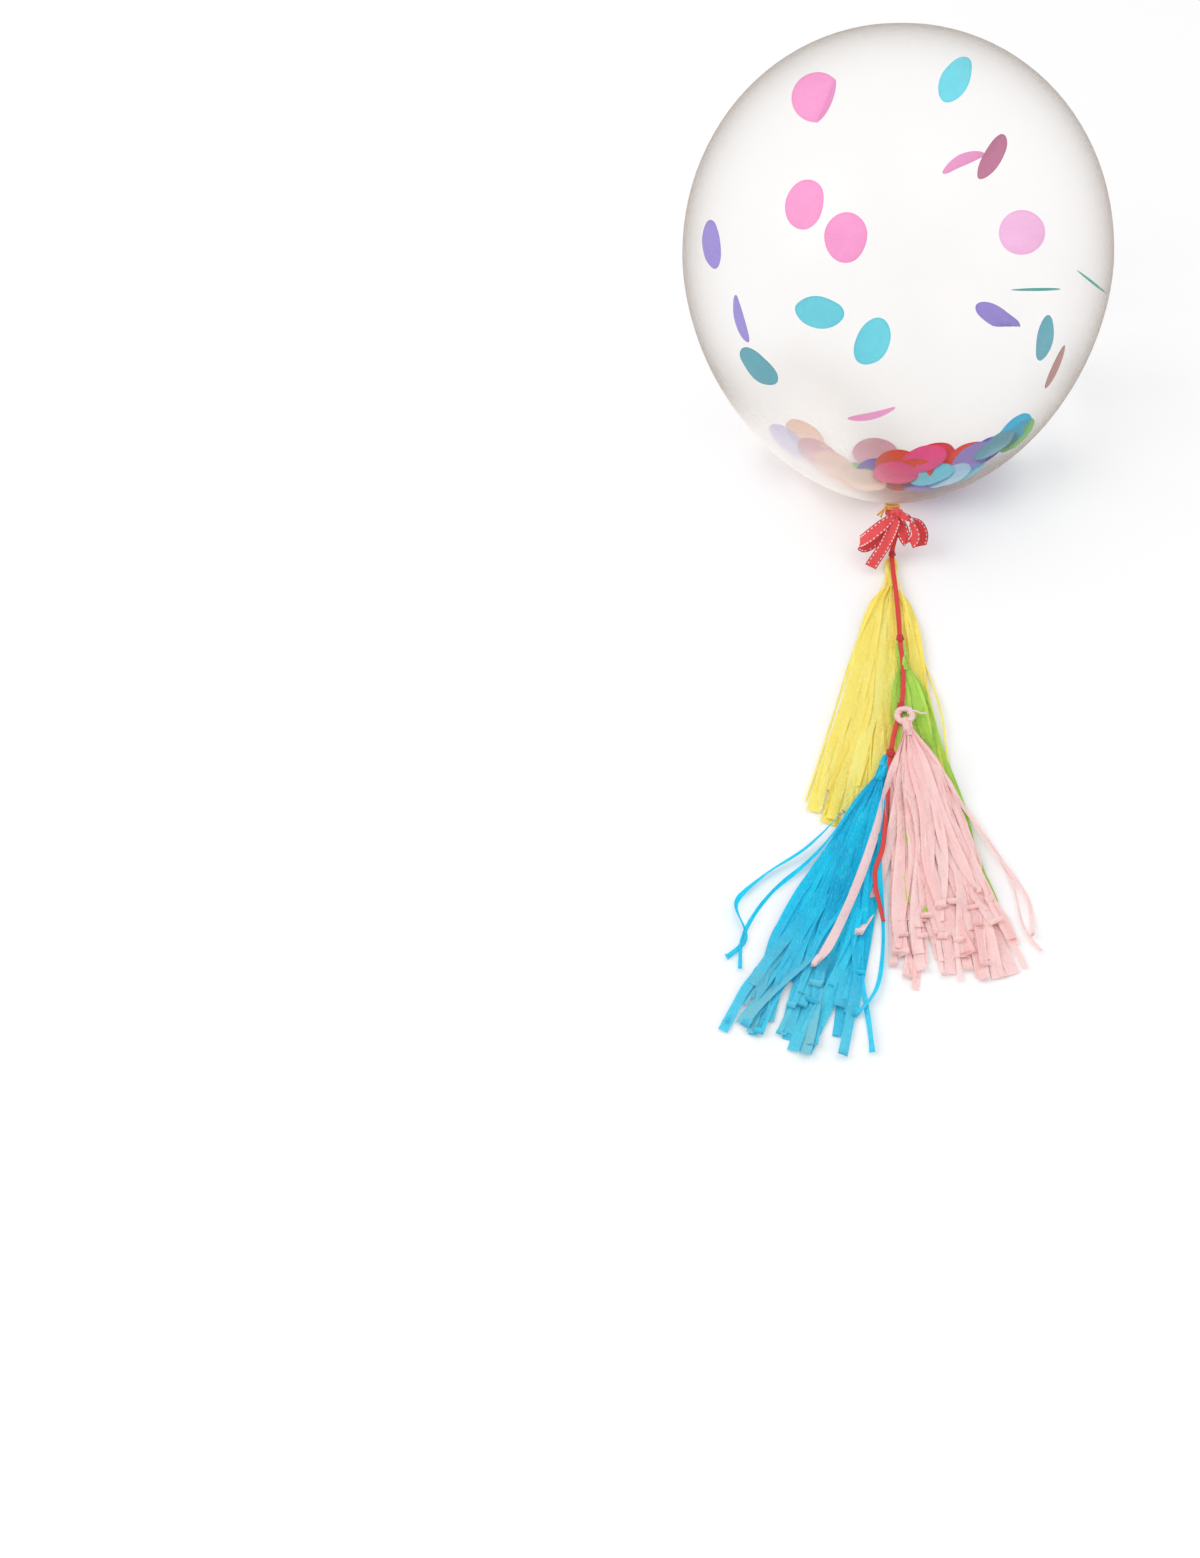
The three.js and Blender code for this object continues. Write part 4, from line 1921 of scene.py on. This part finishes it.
    def _height(self, strip: Strip, point: Vector, share: float) -> float:
        """Height of a strip's middle over the ground.

        Args:
            strip: its own facts.
            point: where it is.
            share: how far down the skirt, from 0 to 1.

        Returns:
            The height.
        """
        pile = mixed(self.neck_height, self.tip_height, share) * (0.12 + 0.88 * strip.level)
        wave = 0.0022 * (0.5 + 0.5 * math.sin(13 * share + 2.1 * strip.phase)) * smooth(share, 0.05, 0.3)
        rest = self.rest_at(point)
        return rest + pile * 0.85 + wave + 0.0006

    def _lay(self, piece: Piece, strip: Strip, middle: Callable[[float], Vector]) -> None:
        """Adds one strip.

        Args:
            piece: the mesh it is added to.
            strip: its own facts.
            middle: its middle at a share of its length.
        """
        places = [middle(row / self.rows) for row in range(self.rows + 1)]
        sides = []
        for row, point in enumerate(places):
            ahead = places[min(row + 1, self.rows)] - places[max(row - 1, 0)]
            ahead.z = 0
            ahead = ahead.normalized() if ahead.length > 1e-7 else Vector((0, -1, 0))
            sides.append((ahead, Vector((-ahead.y, ahead.x, 0.0))))

        def place(across: float, along: float) -> Vector:
            """A point of the strip.

            Args:
                across: share across, from 0 to 1.
                along: share along, from 0 to 1.

            Returns:
                The place.
            """
            row = min(int(round(along * self.rows)), self.rows)
            point, (ahead, side) = places[row], sides[row]
            open_out = 0.3 + 0.7 * smooth(along, 0.02, 0.24)
            half = strip.width / 2 * open_out * (2 * across - 1)
            roll = strip.roll * math.sin(5.0 * along + strip.phase) * smooth(along, 0.0, 0.15)
            roll += 0.9 * strip.roll * math.sin(14.0 * along + 3 * strip.phase) * 0.4
            roll += (1 - smooth(along, 0.0, 0.22)) * 1.2 * math.sin(strip.phase * 3)
            arch = 0.0011 * (1 - (2 * across - 1) ** 2) * math.sin(6 * along + strip.phase * 2)
            crinkle = 0.0005 * math.sin(46 * along + 4 * across + strip.phase)
            lifted = point + side * (half * math.cos(roll))
            tipped = half * math.sin(roll) + abs(strip.width / 2 * open_out * math.sin(roll)) * 0.55
            lifted.z += tipped + arch + crinkle
            size = self.curl_size
            over = size * 3.2 * strip.curl - (1 - along) * strip.reach * self.skirt
            if strip.curl and over > 0:
                bend = over / size
                lifted += ahead * (size * math.sin(bend) - over)
                lifted.z += size * (1 - math.cos(bend)) * 0.8
            lifted.z = max(lifted.z, 0.0004 + 0.0012 * strip.level)
            return lifted

        def shade(across: float, along: float) -> float:
            """Depth of colour: painted shade, deeper in the gathers near the head and low in the pile under
            the upper strips, added to the strip's own random tone.

            Args:
                across: share across, from 0 to 1.
                along: share along, from 0 to 1.

            Returns:
                The depth, up to 1.
            """
            # Painted shade in the gathers and under the upper strips, plus the strip's random tone and a
            # gentle rise and fall along it.
            deep = 0.4 * (1 - smooth(along, 0.0, 0.25)) + strip.shade * 0.85 + 0.15 * (1 - strip.level)
            return min(deep + 0.1 * math.sin(9 * along + strip.phase), 1.0)

        made = piece.grid(3, self.rows, place, shade)
        if self.ends:
            tip = self.ground(0.0, self.start + self.skirt)
            pale = 1.0 if strip.shade > 0.62 else 0.3 + 0.3 * strip.level
            for vert in made:
                gap = (Vector((vert.co.x, vert.co.y, 0.0)) - tip).length
                vert[piece.gather] = smooth(self.gather_reach - gap, 0.0, self.gather_reach) * pale

    def build(self) -> bpy.types.Object:
        """Makes the tassel.

        Returns:
            The object.
        """
        piece = Piece(self.name)
        for strip in self._strips():

            def middle(share: float, strip: Strip = strip) -> Vector:
                """The strip's middle, at its height.

                Args:
                    share: how far along it, from 0 to 1.
                    strip: its own facts.

                Returns:
                    The place.
                """
                point = self._middle(strip, share)
                point.z = self._height(strip, point, share * strip.reach)
                return point

            self._lay(piece, strip, middle)
        draw = random.Random(self.seed + 500)
        for stray in self.strays:
            route = Curve([(x, y, 0.0) for x, y in stray.path])
            facts = Strip(
                across=0.5,
                level=0.5,
                reach=1.0,
                width=stray.width,
                phase=draw.uniform(0, 6),
                sway=0.0,
                roll=draw.uniform(0.5, 0.9),
                curl=stray.curl,
                shade=0.2,
            )

            def along_route(share: float, route: Curve = route, facts: Strip = facts) -> Vector:
                """The stray's middle, at its height.

                Args:
                    share: how far along it, from 0 to 1.
                    route: its route on the ground.
                    facts: its own facts.

                Returns:
                    The place.
                """
                flat = route.at(share)
                point = self.ground(flat.x, flat.y)
                rest = self.rest_at(point)
                own = 0.8 * mixed(self.neck_height, self.tip_height, share) * (1 - smooth(share, 0.1, 0.5))
                point.z = rest + own + 0.0065 + 0.002 * math.sin(11 * share + facts.phase)
                return point

            self._lay(piece, facts, along_route)
        self._head(piece)
        finish = TissueFinish(self.name.replace("tassel", "tissue"), self.colour, self.deep, ends=self.ends)
        made = piece.finish(finish.material(), self.node.replace("tassel", "tissue"), [self.node])
        return made

    def _head(self, piece: Piece) -> None:
        """Adds the twisted loop and the wrapped neck under it, with painted shade on their folds.

        Args:
            piece: the mesh that they are added to.
        """
        rest = self.rest_at(self.ground(0, 0.01))
        half_width, half_length = self.loop[1] / 2 - self.paper_round, self.loop[0] / 2 - self.paper_round
        path = []
        for step in range(61):
            angle = -math.pi / 2 + 0.12 + (2 * math.pi - 0.24) * step / 60
            sideways = half_width * math.cos(angle)
            forward = self.loop[0] / 2 - half_length * math.sin(angle)
            point = self.ground(sideways, forward)
            point.z = rest + 0.0075
            path.append(point)

        def pleats(turn: float, along: float) -> float:
            """Radius of the twisted paper.

            Args:
                turn: angle round it, in radians.
                along: share along, from 0 to 1.

            Returns:
                The radius.
            """
            return self.strand * (0.78 + 0.24 * abs(math.sin(2.5 * turn + 26 * along)))

        # The loop's shade rises and falls with its twists: painted shade on the twisted paper.
        piece.tube(
            path, 20, pleats, shade=lambda across, along: 0.35 + 0.3 * math.sin(26 * along + 12 * across)
        )
        if self.tie_end:
            thread = [
                self.ground(right, ahead) + Vector((0, 0, rest + height)) for right, ahead, height in self.tie
            ]
            piece.tube(
                Curve(thread).even(24),
                10,
                lambda turn, along: 0.0013 * (0.8 + 0.3 * abs(math.cos(turn + 30 * along))),
            )
        neck = []
        for step in range(15):
            share = step / 14
            point = self.ground(0.0, self.start - 0.006 + 0.03 * share)
            point.z = rest + 0.0082
            neck.append(point)

        def wrapped(turn: float, along: float) -> float:
            """Radius of the wrapped neck.

            Args:
                turn: angle round it, in radians.
                along: share along, from 0 to 1.

            Returns:
                The radius.
            """
            swell = 0.0056 + 0.0016 * along
            folded = swell * (0.86 + 0.15 * abs(math.sin(4 * turn + 9 * along)))
            return folded * (0.8 + 0.2 * math.sin(math.pi * along))

        # The neck's shade follows its spiral folds: painted light and shade on the folds.
        piece.tube(
            neck, 26, wrapped, 0.82, shade=lambda across, along: 0.5 + 0.4 * math.sin(25 * across + 9 * along)
        )


def make_tassels() -> list[Tassel]:
    """Lists the four tassels in the order that they lie in, from the lowest up.

    Returns:
        The tassels.
    """
    yellow = Tassel(
        name="yellow_tassel_strips", node="yellow_tassel", colour=(1.0, 0.91, 0.25), deep=(1.0, 0.78, 0.09),
        head=(0.0, 0.057), aim=-2, length=0.455, left=0.122, right=0.088, flare=0.92, loop=(0.033, 0.018),
        count=54, seed=3, curls=0.0, shoulder=0.011, strand=0.0044,
        strays=(
            Stray(((-0.006, 0.035), (-0.05, 0.15), (-0.082, 0.27), (-0.118, 0.4)), 0.004),
            Stray(((0.006, 0.035), (0.034, 0.14), (0.058, 0.26), (0.084, 0.39)), 0.004),
            Stray(((0.006, 0.035), (0.028, 0.12), (0.066, 0.24), (0.078, 0.34)), 0.003),
        ),
    )
    green = Tassel(
        name="green_tassel_strips", node="green_tassel", colour=(0.54, 0.83, 0.13), deep=(0.34, 0.62, 0.05),
        head=(0.005, 0.202), aim=6, length=0.425, left=0.042, right=0.072, flare=0.75, loop=(0.032, 0.016),
        count=36, seed=8, curls=0.0, shoulder=0.005, below=(yellow,),
    )
    blue = Tassel(
        name="blue_tassel_strips", node="blue_tassel", colour=(0.0, 0.69, 0.95), deep=(0.0, 0.43, 0.72),
        head=(-0.017, 0.384), aim=-19, length=0.478, left=0.088, right=0.078, flare=0.72, loop=(0.026, 0.015),
        count=46, seed=21, ends=(0.24, 0.62, 0.68), curls=0.3, raggedness=0.34, looseness=1.5,
        below=(yellow, green),
        strays=(
            Stray(
                (
                    (-0.004, 0.04), (-0.06, 0.17), (-0.108, 0.235), (-0.128, 0.285), (-0.1, 0.33),
                    (-0.118, 0.37),
                ),
                0.007,
                0.6,
            ),
            Stray(
                ((-0.004, 0.04), (-0.045, 0.17), (-0.09, 0.26), (-0.104, 0.33), (-0.092, 0.38)),
                0.006,
                0.5,
            ),
            Stray(((0.004, 0.04), (0.03, 0.2), (0.06, 0.32), (0.095, 0.4), (0.112, 0.44)), 0.008, 0.5),
            Stray(((0.004, 0.04), (0.036, 0.16), (0.078, 0.28), (0.088, 0.35), (0.07, 0.4)), 0.007, 0.9),
        ),
    )
    pink = Tassel(
        name="pink_tassel_strips", node="pink_tassel", colour=(1.0, 0.75, 0.72), deep=(1.0, 0.57, 0.55),
        head=(0.005, 0.316), aim=8, length=0.425, left=0.088, right=0.096, flare=0.78, loop=(0.028, 0.028),
        count=56, seed=34, curls=0.62, raggedness=0.28, looseness=1.4, shoulder=0.004, strand=0.0046,
        tie_end=True, below=(yellow, green, blue),
        strays=(
            Stray(
                (
                    (-0.004, 0.04), (-0.034, 0.1), (-0.078, 0.2), (-0.124, 0.285), (-0.168, 0.35),
                    (-0.196, 0.38),
                ),
                0.013,
                1.2,
            ),
            Stray(((-0.004, 0.04), (-0.026, 0.12), (-0.062, 0.22), (-0.1, 0.3), (-0.124, 0.34)), 0.014, 0.8),
            Stray(((0.004, 0.04), (0.04, 0.12), (0.09, 0.24), (0.118, 0.31), (0.112, 0.37)), 0.006, 0.7),
            Stray(((0.004, 0.04), (0.05, 0.14), (0.1, 0.27), (0.104, 0.35), (0.122, 0.39)), 0.005, 0.5),
        ),
    )
    return [yellow, green, blue, pink]


def main() -> None:
    """Builds everything in order."""
    logging.basicConfig(level=logging.INFO, format="%(message)s")
    view = View()
    view.build()
    HangingLine().build()
    for tassel in make_tassels():
        tassel.build()
    TieCord().build()
    Bow().build()
    Film().build()
    Confetti(view).build()
    Studio().build()


if __name__ == "__main__":
    main()
